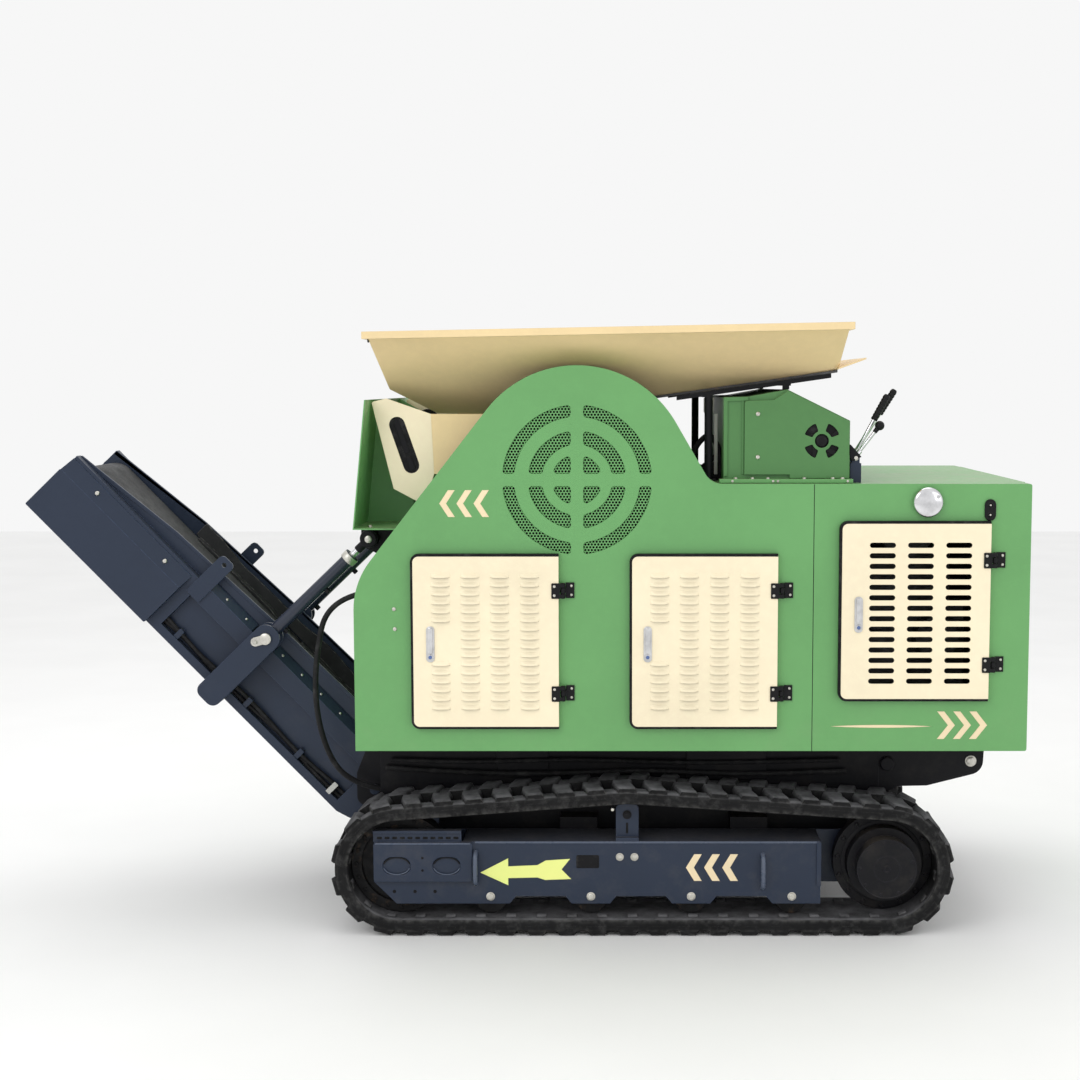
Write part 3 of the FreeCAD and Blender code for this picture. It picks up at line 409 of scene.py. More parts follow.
def hex_bolt(centre, axis, size, mat, high=None, washer=True):
    """Hexagon head with a chamfered crown on a washer; size is across the corners."""
    r = size / 2
    h = high or r * 0.75
    out = []
    base = 0.0
    if washer:
        base = r * 0.16
        disc = [(r * 1.25, -0.4), (r * 1.25, base * 0.7), (r * 1.18, base), (r, base)]
        out.append(lathe(disc, centre, axis, mat, 20))
    head = [(r, base), (r, base + h * 0.8), (r * 0.82, base + h), (0, base + h)]
    out.append(lathe(head, centre, axis, mat, 6, 0.4))
    return out


def dome(centre, axis, r, h, mat, n=18, socket=True):
    """Round-head screw with a recess in its crown."""
    prof = [(r, -0.4), (r, h * 0.25), (r * 0.93, h * 0.6), (r * 0.72, h * 0.88)]
    prof += ([(r * 0.45, h), (r * 0.38, h), (r * 0.34, h * 0.55), (0, h * 0.55)] if socket
             else [(r * 0.4, h), (0, h)])
    return [lathe(prof, centre, axis, mat, n)]


def smooth_path(points, steps=8):
    """Catmull-Rom points through the given ones."""
    pts = [Vector(p) for p in points]
    ext = [pts[0] * 2 - pts[1]] + pts + [pts[-1] * 2 - pts[-2]]
    out = []
    for i in range(1, len(ext) - 2):
        a, b, c, d = ext[i - 1:i + 3]
        for k in range(steps):
            t = k / steps
            out.append(0.5 * ((2 * b) + (c - a) * t + (2 * a - 5 * b + 4 * c - d) * t * t
                              + (3 * b - a - 3 * c + d) * t ** 3))
    return out + [pts[-1]]


def tube(points, r, mat, n=12, steps=8, place=flat):
    """Round bar or line along a smooth path."""
    path = [Vector(place(*p)) for p in smooth_path(points, steps)]
    verts, faces = [], []
    up = None
    for i, p in enumerate(path):
        d = (path[min(i + 1, len(path) - 1)] - path[max(i - 1, 0)]).normalized()
        side = (d.orthogonal() if up is None else up - d * up.dot(d)).normalized()
        up = side
        other = d.cross(side)
        for k in range(n):
            a = 2 * pi * k / n
            verts.append(tuple(p + side * (r * cos(a)) + other * (r * sin(a))))
    for i in range(len(path) - 1):
        for k in range(n):
            j = (k + 1) % n
            faces.append((i * n + k, i * n + j, (i + 1) * n + j, (i + 1) * n + k))
    faces += [tuple(reversed(range(n))), tuple(range((len(path) - 1) * n, len(path) * n))]
    return verts, faces, mat


def rounded(corners, n=6):
    """Outline from (x, z, radius) corners."""
    pts = [Vector((c[0], c[1])) for c in corners]
    out = []
    for i, corner in enumerate(corners):
        r = corner[2] if len(corner) > 2 else 0
        q, p, s = pts[i], pts[i - 1], pts[(i + 1) % len(pts)]
        if not r:
            out.append(tuple(q))
            continue
        a, b = (p - q).normalized(), (s - q).normalized()
        half = a.angle(b) / 2
        mid = (a + b).normalized()
        centre = q + mid * (r / sin(half))
        start = atan2(*reversed((q + a * (r / tan(half)) - centre)[:]))
        end = atan2(*reversed((q + b * (r / tan(half)) - centre)[:]))
        sweep = (end - start + pi) % (2 * pi) - pi
        out += [polar(*centre, r, start + sweep * k / n) for k in range(n + 1)]
    return out


def rect(x0, x1, z0, z1, r=0.0):
    return rounded([(x0, z0, r), (x1, z0, r), (x1, z1, r), (x0, z1, r)])


def pill(p, q, r, n=10):
    """Slot outline of radius r from p to q."""
    a = atan2(q[1] - p[1], q[0] - p[0])
    out = []
    for centre, start in ((q, a - pi / 2), (p, a + pi / 2)):
        out += [polar(*centre, r, start + pi * k / n) for k in range(n + 1)]
    return out


def circle(x, z, r, n=32):
    return [polar(x, z, r, 2 * pi * k / n) for k in range(n)]


def arc_slot(x, z, r0, r1, a0, a1, corner, n=14):
    """Part of a ring between two radii and two angles, with rounded corners."""
    out = []
    for r, inset, start, end in ((r1, r1 - corner, a0, a1), (r0, r0 + corner, a1, a0)):
        trim = corner / r * (1 if end > start else -1)
        ring = [polar(x, z, r, start + trim + (end - start - 2 * trim) * k / n) for k in range(n + 1)]
        out += blend_corner(polar(x, z, inset, start), polar(x, z, r, start), ring[0])
        out += ring[1:-1]
        out += blend_corner(ring[-1], polar(x, z, r, end), polar(x, z, inset, end))
    return out


def blend_corner(a, b, c, n=4):
    """Quadratic curve from a to c, pulled to the corner b."""
    return [tuple((1 - t) ** 2 * a[i] + 2 * t * (1 - t) * b[i] + t * t * c[i] for i in (0, 1))
            for t in (k / n for k in range(n + 1))]


def plate(outlines, y0, y1, mat, bev=0.6, place=flat):
    """Flat plate in x and z between two y, with holes and rounded edges; the first outline is the outer one."""
    curve = bpy.data.curves.new("tmp", "CURVE")
    curve.dimensions, curve.fill_mode = "2D", "BOTH"
    t = abs(y1 - y0)
    bev = min(bev, t * 0.45)
    curve.extrude = t / 2 - bev
    curve.bevel_depth, curve.bevel_resolution, curve.offset = bev, 1, -bev
    for pts in outlines:
        spline(curve, "POLY", [(x, z, 0) for x, z in pts]).use_cyclic_u = True
    obj = new_object("tmp", curve)
    mesh = bpy.data.meshes.new_from_object(obj.evaluated_get(bpy.context.evaluated_depsgraph_get()))
    mid = (y0 + y1) / 2
    verts = [place(v.co.x, mid - v.co.z, v.co.y) for v in mesh.vertices]
    turn = -1 if place in (mirrored, conv_far) else 1
    faces = [tuple(f.vertices)[::turn] for f in mesh.polygons]
    bpy.data.objects.remove(obj)
    bpy.data.curves.remove(curve)
    bpy.data.meshes.remove(mesh)
    return verts, faces, mat


def chevrons(x0, step, z0, z1, width, reach, way=-1):
    """Three arrow-shaped stickers in a row on the near face."""
    out = []
    mid = (z0 + z1) / 2
    for k in range(3):
        a = x0 + step * k
        tip = a if way < 0 else a + width + reach
        s = -way
        pts = [(tip, mid), (tip + s * reach, z1), (tip + s * (reach + width), z1), (tip + s * width, mid),
               (tip + s * (reach + width), z0), (tip + s * reach, z0)]
        out.append(plate([pts], FACE - 0.6, FACE, STICKER, 0.15))
    return out


def screws(name, spots, y, size):
    """Round-head screws on a near side face."""
    piece(name, "machine",
          [part for x, z in spots for part in dome((x, y, z), NEAR_OUT, size / 2, size * 0.3, ZINC)])


# ---- hose

HOSE_POINTS = [(-479, -410, 1060), (-590, -405, 1035), (-634, -395, 860), (-640, -380, 660), (-590, -350, 480),
               (-500, -312, 410), (-443, -300, 398)]


def nurbs(name, points, r, mat, body, node):
    curve = bpy.data.curves.new(name, "CURVE")
    curve.dimensions = "3D"
    line = spline(curve, "NURBS", [P(*p) for p in points])
    line.order_u = 3
    line.use_endpoint_u = True
    line.resolution_u = 14
    curve.bevel_depth, curve.bevel_resolution, curve.use_fill_caps = r / 1000, 5, True
    curve.materials.append(mat)
    obj = new_object(name, curve)
    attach(obj, body)
    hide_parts(node)
    P(*points[0])
    return obj


nurbs("hydraulic_hose", HOSE_POINTS, 9, HOSE, "machine", "hose_body")

# ---- doors

DOORS = {"door_front": (-293.0, 155.0, 669.0, 1198.0), "door_middle": (381.0, 829.0, 669.0, 1198.0),
         "door_engine": (1025.0, 1481.0, 756.0, 1299.0)}
LOCKS = {"door_front": (-240.0, 927.0), "door_middle": (429.0, 927.0), "door_engine": (1077.0, 1019.0)}
HINGES = {"door_front": (1092.0, 772.0), "door_middle": (1092.0, 772.0), "door_engine": (1186.0, 862.0)}
LEAF = FACE - 23.0          # outer face of a door leaf
HINGE_X, HINGE_Y = 13, LEAF + 7     # hinge axis: beyond the leaf's edge, and across
HINGE_HALF = 24             # half a hinge's height
LOUVRE_ROWS, LOUVRE_TOP, LOUVRE_PITCH = 16, 1134, 27.25
BESIDE_LOCK = range(6, 10)  # rows that leave out the louvre at the lock
LOUVRE_X = {"door_front": (-208, -117, -26, 66), "door_middle": (466, 557, 650, 743)}


def louvre(x, z, place):
    """Pressed hood: smooth above, with an open lip below that is closed by a black strip as painted shadow
    inside.
    """
    half, high, out = 29.0, 13.0, 9.0
    nu, nv = 12, 5
    turn = -1 if place is mirrored else 1
    verts, faces = [], []
    for j in range(nv + 1):
        v = j / nv
        for i in range(nu + 1):
            u = -1 + 2 * i / nu
            bulge = (1 - u ** 4) * sin(v * pi / 2) ** 1.3 * out
            verts.append(place(x + u * half, LEAF - 0.2 - bulge, z + high * (1 - v) - (1 - u * u) * 1.0 * v))
    for j in range(nv):
        for i in range(nu):
            a = j * (nu + 1) + i
            faces.append((a, a + nu + 1, a + nu + 2, a + 1)[::turn])
    # The lip is closed back to the sheet by a black strip: painted shadow inside the lip.
    low = [place(x + (-1 + 2 * i / nu) * half, LEAF - 0.2, z - 0.6) for i in range(nu + 1)]
    lip = verts[nv * (nu + 1):]
    shadow = [(i, i + nu + 1, i + nu + 2, i + 1)[::turn] for i in range(nu)]
    return [(verts, faces, CREAM), (lip + low, shadow, SEAL)]


def louvre_rows(door, place=flat):
    rows = []
    for k in range(LOUVRE_ROWS):
        for c, x in enumerate(LOUVRE_X[door]):
            if c or k not in BESIDE_LOCK:
                rows += louvre(x, LOUVRE_TOP - LOUVRE_PITCH * k, place)
    return rows


def door_seal(door, place=flat):
    """Rubber profile round three sides of the leaf."""
    x0, x1, z0, z1 = DOORS[door]
    w, r = 8.0, 18.0
    outer = rounded([(x1, z1 + w), (x0 - w, z1 + w, r + w), (x0 - w, z0 - w, r + w), (x1, z0 - w)])
    inner = rounded([(x1, z0), (x0, z0, r), (x0, z1, r), (x1, z1)])
    return plate([outer + inner], FACE - 21, FACE - 1, SEAL, 2.0, place)


def door_fittings(door, place=flat):
    """Lock on the leaf and the leaf's half of both hinges."""
    x1, (lx, lz) = DOORS[door][1], LOCKS[door]
    out = place(0, -1, 0)
    keyhole, lock_line = place(lx, LEAF - 4, lz - 40), rect(lx - 13, lx + 13, lz - 56, lz + 56, 12)
    parts = [plate([lock_line], LEAF - 4, LEAF, LATCH, 1.6, place),
             plate([pill((lx, lz - 22), (lx, lz + 44), 8)], LEAF - 9, LEAF - 3.5, LATCH, 2.2, place),
             lathe([(9, 0), (9, 3), (8, 4), (6.5, 4), (6.5, 3.4), (0, 3.4)], keyhole, out, LATCH),
             lathe([(5.6, 0), (5.6, 4.2), (4.6, 4.8), (0, 4.8)], keyhole, out, KEY, 20)]
    hx, half = x1 + HINGE_X, HINGE_HALF
    for hz in HINGES[door]:
        wing = rect(hx - 35, x1 + 4, hz - half, hz + half, 3)
        parts.append(plate([wing], LEAF - 3.5, LEAF, PLASTIC, 1.0, place))
        for h in (-half, 10):
            parts.append(lathe([(0, 0), (7, 0), (8, 1.2), (8, 12.8), (7, 14), (0, 14)],
                               place(hx, HINGE_Y, hz + h), (0, 0, 1), PLASTIC, 24))
            web = rect(x1 + 1, hx, hz + h + 1, hz + h + 13)
            parts.append(plate([web], LEAF - 3, LEAF + 3, PLASTIC, 0.8, place))
        for dz in (-14, 14):
            parts += dome(place(hx - 26, LEAF - 3.4, hz + dz), out, 4.4, 2.2, ZINC)
    return parts


def far_hinge_seats(door):
    """The housing's half of the hinges on the far side."""
    hx, half, parts = DOORS[door][1] + HINGE_X, HINGE_HALF, []
    for hz in HINGES[door]:
        wing = rect(hx + 9, hx + 35, hz - half, hz + half, 3)
        parts.append(plate([wing], FACE - 5, FACE, PLASTIC, 1.0, mirrored))
        parts.append(lathe([(0, 0), (8, 0), (8, 16), (0, 16)], mirrored(hx, HINGE_Y, hz - 8), (0, 0, 1),
                           PLASTIC, 24))
        parts.append(plate([rect(hx - 4, hx + 10, hz - 7, hz + 7)], LEAF + 9, FACE, PLASTIC, 1.0, mirrored))
        for dz in (-14, 14):
            parts += dome(mirrored(hx + 26, FACE - 5, hz + dz), (0, 1, 0), 4.4, 2.6, ZINC)
    return parts


for door in DOORS:
    piece(door + "_seal", door, [door_seal(door)])
    piece(door + "_hardware", door, door_fittings(door), replaces=[door + "_fittings"])
    piece("far_" + door + "_fittings", "machine",
          [door_seal(door, mirrored)] + door_fittings(door, mirrored) + far_hinge_seats(door))
for door in LOUVRE_X:
    piece(door + "_louvres", door, louvre_rows(door))
    piece("far_" + door + "_louvres", "machine", louvre_rows(door, mirrored))


def slotted_leaf():
    """Engine door: pan-shaped leaf with through slots."""
    x0, x1, z0, z1 = DOORS["door_engine"]
    edge = rounded([(x0, z0, 18), (x1, z0), (x1, z1), (x0, z1, 18)])
    t = 2.5                 # sheet
    inner = rounded([(x0 + t, z0 + t, 16), (x1 - t, z0 + t), (x1 - t, z1 - t), (x0 + t, z1 - t, 16)])
    slots = [pill((xa + 8, 1233 - 32.4 * k), (xa + 72, 1233 - 32.4 * k), 8, 6) for xa in (1109, 1226, 1343)
             for k in range(14)]
    parts = [plate([edge] + slots, LEAF, LEAF + t, CREAM, 0.7),
             plate([edge, inner], LEAF + 2, LEAF + 18, CREAM, 0.6)]
    piece("door_engine_leaf", "door_engine", parts, replaces=["door_engine"])
    # Black slot shapes on the far leaf: painted shade in place of the through slots.
    piece("far_door_engine_slot_shade", "machine",
          [plate([slot], LEAF - 0.5, LEAF + 0.3, SEAL, 0.1, mirrored) for slot in slots])


slotted_leaf()

screws("hinge_screws", [(DOORS[door][1] + HINGE_X + 26, hz + dz)
                        for door in DOORS for hz in HINGES[door] for dz in (-14, 14)], FACE - 5, 8.8)

# ---- near side sheets

screws("panel_bolts", [(-354, 1033), (-352, 971)], FACE, 13)
parts = chevrons(-211, 52.5, 1318, 1401, 21, 27)
parts += chevrons(1328, 50, 626, 713, 22, 34, way=1)
stripe = [(996 + 317 * t, 666 + 4.5 * sin(pi * t) ** 0.8) for t in (k / 16 for k in range(17))]
stripe += [(x, 1332 - z) for x, z in reversed(stripe[1:-1])]
parts.append(plate([stripe], FACE - 0.6, FACE, STICKER, 0.15))
piece("side_stickers", "machine", parts)
piece("panel_seam", "machine", [plate([rect(939, 941, 588, 1419)], FACE - 0.4, FACE + 0.4, SEAL, 0.1)])


def guard(name, place, y):
    """Perforated sheet behind the guard openings: staggered round holes in a thin plate."""
    pitch, r, reach = 10.0, 3.75, 240
    row = pitch * sqrt(3) / 2
    verts, faces, known = [], [], {}

    def at(x, z):
        key = (round(x, 2), round(z, 2))
        if key not in known:
            known[key] = len(verts)
            verts.append((x, 0.0, z))
        return known[key]

    count = int(reach / row)
    for j in range(-count, count + 1):
        zc = FLY_Z + j * row
        half = sqrt(max(0.0, reach ** 2 - (j * row) ** 2))
        off = pitch / 2 if j % 2 else 0.0
        for i in range(int((-half - off) / pitch), int((half - off) / pitch) + 1):
            xc = FLY_X + i * pitch + off
            cell = [(5, 0), (5, row / 2), (0, row / 2), (-5, row / 2), (-5, 0), (-5, -row / 2), (0, -row / 2),
                    (5, -row / 2)]
            outer = [at(xc + dx, zc + dz) for dx, dz in cell]
            hole = [at(*polar(xc, zc, r, pi / 4 * k)) for k in range(8)]
            faces += [(outer[k], hole[k], hole[(k + 1) % 8], outer[(k + 1) % 8]) for k in range(8)]
    obj = piece(name, "machine", [([place(v[0], y, v[2]) for v in verts], faces, GREEN)])
    solid = obj.modifiers.new("sheet", "SOLIDIFY")
    solid.thickness, solid.offset = 0.0015, 0
    return obj


near_guard = guard("guard_sheet_near", flat, FACE + 6.5)
guard("guard_sheet_far", mirrored, FACE + 6.5)
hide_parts("flywheel_guards")

cap = [(34, 0), (34, 8), (46, 8), (46.2, 12), (45, 16)]
cap += [(44 * cos(a), 16 + 9.6 * sin(a)) for a in (radians(10 * k) for k in range(1, 9))] + [(0, 25.8)]
piece("fuel_cap_dome", "machine",
      [lathe(cap, (1288, FACE, 1364), NEAR_OUT, CHROME, 48),
       lathe([(5, 0), (5, 12), (3, 14), (0, 14)], (1316, FACE - 12, 1382), NEAR_OUT, LATCH, 16)],
      replaces=["fuel_cap"])
parts = [plate([pill((1480, 1324), (1480, 1356), 17.5)], FACE - 6, FACE, PLASTIC, 1.6)]
for z in (1325, 1355):
    parts.append(lathe([(9.5, 0), (9.5, 5), (8, 7.4), (5, 8), (4.5, 6), (0, 6)], (1480, FACE, z), NEAR_OUT,
                       PLASTIC))
    parts += dome((1480, FACE - 6, z), NEAR_OUT, 3.4, 2, ZINC)
piece("key_switches", "machine", parts, replaces=["socket_plate"])

# ---- upper cabinet and deck

FAN_X, FAN_Z = 967, 1550
fan = [arc_slot(FAN_X, FAN_Z, 31, 57, radians(90 * q + 20), radians(90 * q + 70), 5) for q in range(4)]
cover = rounded([(728, 1446), (728, 1673, 8), (818, 1676), (861, 1704), (1052, 1610, 3), (1052, 1434),
                 (868, 1434), (868, 1446)])
inner_cover = rounded([(731, 1449), (731, 1670, 6), (818, 1673), (860, 1700), (1049, 1608), (1049, 1437),
                       (871, 1437), (871, 1449)])
for label, place in SIDES:
    hub, out = place(FAN_X, -533, FAN_Z), place(0, -1, 0)
    parts = [plate([cover] + fan + [circle(FAN_X, FAN_Z, 21.6)], -542, -538.5, DARK_GREEN, 0.8, place),
             plate([cover, inner_cover], -539, -530.5, DARK_GREEN, 0.6, place),
             # Black disc behind the fan slots and blades: painted shade seen through them.
             plate([circle(FAN_X, FAN_Z, 66, 40)], -534, -530.2, SEAL, 0.8, place),
             lathe([(19, 0), (19, 4), (15, 7), (6, 8), (0, 8)], hub, out, PLASTIC)]
    for a in (radians(72 * k) for k in range(5)):
        blade = pill(polar(FAN_X, FAN_Z, 24, a), polar(FAN_X, FAN_Z, 54, a + 0.5), 7)
        parts.append(plate([blade], -537, -533.5, PLASTIC, 0.8, place))
    for z in (1633, 1500):
        parts += dome(place(769, -542, z), out, 7, 4.2, ZINC)
    piece("cabinet_side_sheet_" + label, "machine", parts,
          replaces=["cabinet_cover"] if label == "near" else ())

flange = rounded([(664, 1684), (740, 1686), (740, 1674), (676, 1672), (676, 1440), (664, 1440)])
parts = [plate([flange], -536, -530.2, DARK_GREEN, 1.0),
         plate([rect(720, 727, 1446, 1676)], -533.5, -530.2, DARK_GREEN, 0.8),
         plate([rect(650, 1062, 1421, 1433, 1)], -566, -531, GREEN, 1.2)]
piece("cabinet_flanges", "machine", parts)
parts = []
for x in (700, 752, 800, 912, 1000, 1030):
    parts += hex_bolt((x, -552, 1433), (0, 0, 1), 12, ZINC)
for x in (690, 815, 830, 1045):
    parts += hex_bolt((x, -566, 1427), NEAR_OUT, 9, ZINC, washer=False)
piece("deck_bolts", "machine", parts)

# Post, junction block and cable loop behind the arch
parts = [plate([rect(612, 634, 1425, 1690, 2)], -404, -382, BLACK, 2.0),
         plate([rect(608, 640, 1634, 1682, 4)], -420, -404, PALE, 2.0),
         plate([rect(641, 652, 1440, 1632, 2)], -420, -414, PALE, 1.0),
         tube([(560, -395, 1425), (566, -395, 1470), (588, -395, 1530), (624, -405, 1562), (652, -410, 1530),
               (660, -410, 1470), (660, -405, 1425)], 9, HOSE),
         tube([(575, -380, 1425), (596, -385, 1455), (640, -390, 1490), (662, -390, 1520)], 7, HOSE),
         plate([rounded([(566, 1421), (566, 1440, 6), (640, 1478, 8), (664, 1478), (664, 1421)])], -400, -380,
               BLACK, 2.0)]
piece("post_and_cables", "machine", parts)

# Rubber buffer under the hopper's edge on the cabinet
buffer = rounded([(790, 1690), (842, 1706), (861, 1706), (818, 1679), (800, 1679)])
piece("cabinet_buffer", "machine", [plate([buffer], -529, -420, BLACK, 2.0)])

# ---- levers

LEVER_X, LEVER_Z = 1075.0, 1497.0
LEVERS = {"lever_short": (-500.0, (1151.0, 1596.0)), "lever_left": (-468.0, (1176.0, 1685.0)),
          "lever_right": (-436.0, (1203.0, 1701.0))}
for name, (y, (tx, tz)) in LEVERS.items():
    d = Vector((tx - LEVER_X, 0, tz - LEVER_Z))
    length = d.length
    n = d.normalized()
    start = (LEVER_X, y, LEVER_Z)
    r = 5.0 if name == "lever_short" else 6.0
    parts = [lathe([(0, -9), (11, -9), (12, -8), (12, 8), (11, 9), (0, 9)], start, (0, 1, 0), BLACK, 24),
             lathe([(8, 6), (8, 26), (6.5, 28), (r, 28), (r, length - 6), (0, length - 6)], start, n, CHROME,
                   20)]
    if name == "lever_short":
        ball = [(15 * sin(a), length - 15 * cos(a)) for a in (pi * k / 14 for k in range(15))]
        parts.append(lathe(ball, start, n, PLASTIC, 28))
        neck = [(0, length - 26), (7, length - 26), (8, length - 12), (0, length - 12)]
        parts.append(lathe(neck, start, n, PLASTIC))
    else:
        grip = [(0, length - 82)]
        for k in range(8):
            h = length - 82 + 10.5 * k
            grip += [(9.6, h), (10.8, h + 2.5), (10.8, h + 7.5), (9.6, h + 10)]
        grip += [(9.8, length + 3), (7, length + 7), (0, length + 8)]
        parts.append(lathe(grip, start, n, PLASTIC, 24))
    piece(name + "_handle", name, parts, replaces=[name])
parts = [plate([rounded([(1092, 1500), (1052, 1545, 4), (1052, 1506), (1064, 1486)])], -530, -525, BLACK, 1.0)]
parts += hex_bolt((1075, -524, 1497), NEAR_OUT, 14, ZINC)
for z in (1440, 1466):
    parts += hex_bolt((1092, -470, z), (1, 0, 0), 12, ZINC)
piece("lever_bracket", "machine", parts)

# ---- hopper and inlet

# Black discs in the hopper's small round holes: painted shade inside them.
piece("hopper_hole_shade", "machine",
      [lathe([(0, 0), (7, 0), (7, 4), (5, 5), (0, 5)], place(-424, -560, 1858), (-1, 0, 0), BLACK)
       for place in (flat, mirrored)])


def slope_x(z):
    """Front slope of the housing at height z, tangent to the arch."""
    a = radians(52.1)
    return FLY_X - 350 * sin(a) + (z - FLY_Z - 350 * cos(a)) / tan(a)


cheek = rounded([(-439, 1668, 6), (-392, 1680, 6), (-252, 1631), (-243, 1442), (slope_x(1400), 1401),
                 (slope_x(1352), 1353), (-372, 1395)])
window = pill((-359, 1597), (-315, 1469), 25)
parts = []
for place in (flat, mirrored):
    parts.append(plate([cheek, window], -430, -426, CREAM, 0.8, place))
    # Black rubber sheet behind each window: painted shade seen through it.
    parts.append(plate([pill((-359, 1597), (-315, 1469), 38)], -425.5, -421, SEAL, 1.0, place))
    for p, q in (((-362, 1608), (-330, 1514)), ((-322, 1488), (-312, 1460))):
        parts.append(plate([pill(p, q, 9)], -428.5, -425, BLACK, 1.5, place))
piece("inlet_cheek_sheets", "machine", parts, replaces=["inlet_cheeks"])
piece("guard_box_bolts", "machine",
      hex_bolt((-440, -480, 1278), (0, 0, 1), 14, ZINC) + hex_bolt((-440, 480, 1278), (0, 0, 1), 14, ZINC))

# ---- rubber tracks

IDLER_X, SPROCKET_X, WHEEL_R, AXLE_Z = -351.0, 1180.0, 157.0, 211.0
CARCASS, LUG, LUG_PITCH = 24.0, 30.0, 96.0
LOOP = [(IDLER_X, AXLE_Z, WHEEL_R), (SPROCKET_X, AXLE_Z, WHEEL_R), (366.0, 386.0, 35.0)]


def loop_parts(d):
    """Runs and arcs of the track path at d outside the wheels."""
    n, normals, out = len(LOOP), [], []
    for i in range(n):
        (x1, z1, r1), (x2, z2, r2) = LOOP[i], LOOP[(i + 1) % n]
        phi = atan2(z2 - z1, x2 - x1)
        normals.append(phi - pi / 2 + asin((r1 - r2) / hypot(x2 - x1, z2 - z1)))
    for i in range(n):
        x, z, r = LOOP[i]
        a0, a1 = normals[i - 1], normals[i]
        while a1 < a0:
            a1 += 2 * pi
        out.append(("arc", x, z, r + d, a0, a1, (r + CARCASS) * (a1 - a0)))
        x2, z2, r2 = LOOP[(i + 1) % n]
        p, q = polar(x, z, r + d, a1), polar(x2, z2, r2 + d, a1)
        out.append(("run", p, q, a1, dist(p, q)))
    return out


LOOP_LENGTH = sum(p[-1] for p in loop_parts(CARCASS))
LOOPS = {}


def loop_point(s, d):
    """Point at s along the track path and d outside the wheels."""
    s %= LOOP_LENGTH
    if d not in LOOPS:
        LOOPS[d] = loop_parts(d)
    for p in LOOPS[d]:
        if s <= p[-1]:
            f = s / p[-1]
            if p[0] == "arc":
                return polar(*p[1:4], p[4] + (p[5] - p[4]) * f)
            return p[1][0] + (p[2][0] - p[1][0]) * f, p[1][1] + (p[2][1] - p[1][1]) * f
        s -= p[-1]
    return loop_point(0, d)


def track_carcass():
    """Endless band with rounded shoulders and a moulded ridge along each edge."""
    section = [(600, 3), (600, 34), (597, 40), (590, 42), (556, 42), (534, 36), (516, 24), (454, 24), (436, 36),
               (414, 42), (380, 42), (373, 40), (370, 34), (370, 3), (373, 0), (392, 0), (396, 2.5), (574, 2.5),
               (578, 0), (597, 0)]
    steps = 260
    verts, faces = [], []
    m = len(section)
    for i in range(steps):
        for y, d in section:
            x, z = loop_point(LOOP_LENGTH * i / steps, d)
            verts.append((x, -y, z))
    for i in range(steps):
        j = (i + 1) % steps
        for k in range(m):
            q = (k + 1) % m
            faces.append((i * m + k, i * m + q, j * m + q, j * m + k))
    return verts, faces, TRACK


def track_lug(s, y_out, y_in):
    """Tread bar, skewed towards the band's edge."""
    rows = []
    spans = [(0.0, 34, 23, 30, -16), (0.05, 34, 24, 31, -15), (0.3, 34, 25, 31, -8), (0.62, 35, 25, 32, 0),
             (1.0, 37, 27, 34, 0)]
    verts, faces = [], []
    for n_row, (t, base, top, shoulder, skew) in enumerate(spans):
        y = y_out + (y_in - y_out) * t
        high = LUG if n_row else LUG - 4
        ring = [(-base, -1.0), (-shoulder, high * 0.45), (-top - 1.5, high * 0.93), (-top + 2, high),
                (top - 2, high), (top + 1.5, high * 0.93), (shoulder, high * 0.45), (base, -1.0)]
        row = []
        for ds, dh in ring:
            x, z = loop_point(s + ds + skew, CARCASS + dh)
            row.append(len(verts))
            verts.append((x, -y, z))
        rows.append(row)
    for a, b in zip(rows, rows[1:]):
        for k in range(len(a) - 1):
            faces.append((a[k], a[k + 1], b[k + 1], b[k]))
        faces.append((a[-1], a[0], b[0], b[-1]))
    faces += [tuple(rows[0]), tuple(reversed(rows[-1]))]
    return verts, faces, TRACK


def drive_cleat(s):
    """Guide horns on the inner face of the band."""
    out = []
    faces = [(0, 2, 3, 1), (4, 5, 7, 6), (0, 1, 5, 4), (2, 6, 7, 3), (0, 4, 6, 2), (1, 3, 7, 5)]
    for y0, y1 in ((546, 580), (390, 424)):
        verts = []
        for y, h, w in ((y0, 0.6, 17), (y1, 0.6, 17), (y0 + 4, 5.0, 12), (y1 - 4, 5.0, 12)):
            for sign in (-1, 1):
                x, z = loop_point(s + sign * w, -(h - 1.1) if h > 1 else 0.5)
                verts.append((x, -y, z))
        out.append((verts, faces, TRACK))
    return out


COUNT = round(LOOP_LENGTH / LUG_PITCH)
PITCH = LOOP_LENGTH / COUNT
for label, place in SIDES:
    parts = [track_carcass()]
    for k in range(COUNT):
        parts.append(track_lug((k + 0.5) * PITCH, 598.5, 487))
        parts.append(track_lug(k * PITCH, 371.5, 483))
        parts += drive_cleat((k + 0.5) * PITCH)
    parts = [([place(*v) for v in vs], fs if label == "near" else [tuple(reversed(f)) for f in fs], m)
             for vs, fs, m in parts]
    piece("track_band_" + label, "machine", parts, angle=50, replaces=["rubber_track_" + label])

# ---- track frames

TF = -575.0                 # outer face of the adjuster cover; the frame's own plate is 10 mm behind
TP = TF + 10


def eye_loop(x, z0, z1, y, place):
    """Lashing eye: a bar bent out from the plate and back."""
    mid = (z0 + z1) / 2
    reach = 24.0
    pts = [(x, y + 2, z0), (x, y - reach * 0.75, z0 + 14), (x, y - reach, mid), (x, y - reach * 0.75, z1 - 14),
           (x, y + 2, z1)]
    # Drawn in the lighter navy as a painted highlight on the bent bar.
    return tube(pts, 7.5, NAVY_HIGHLIGHT, 12, 6, place)


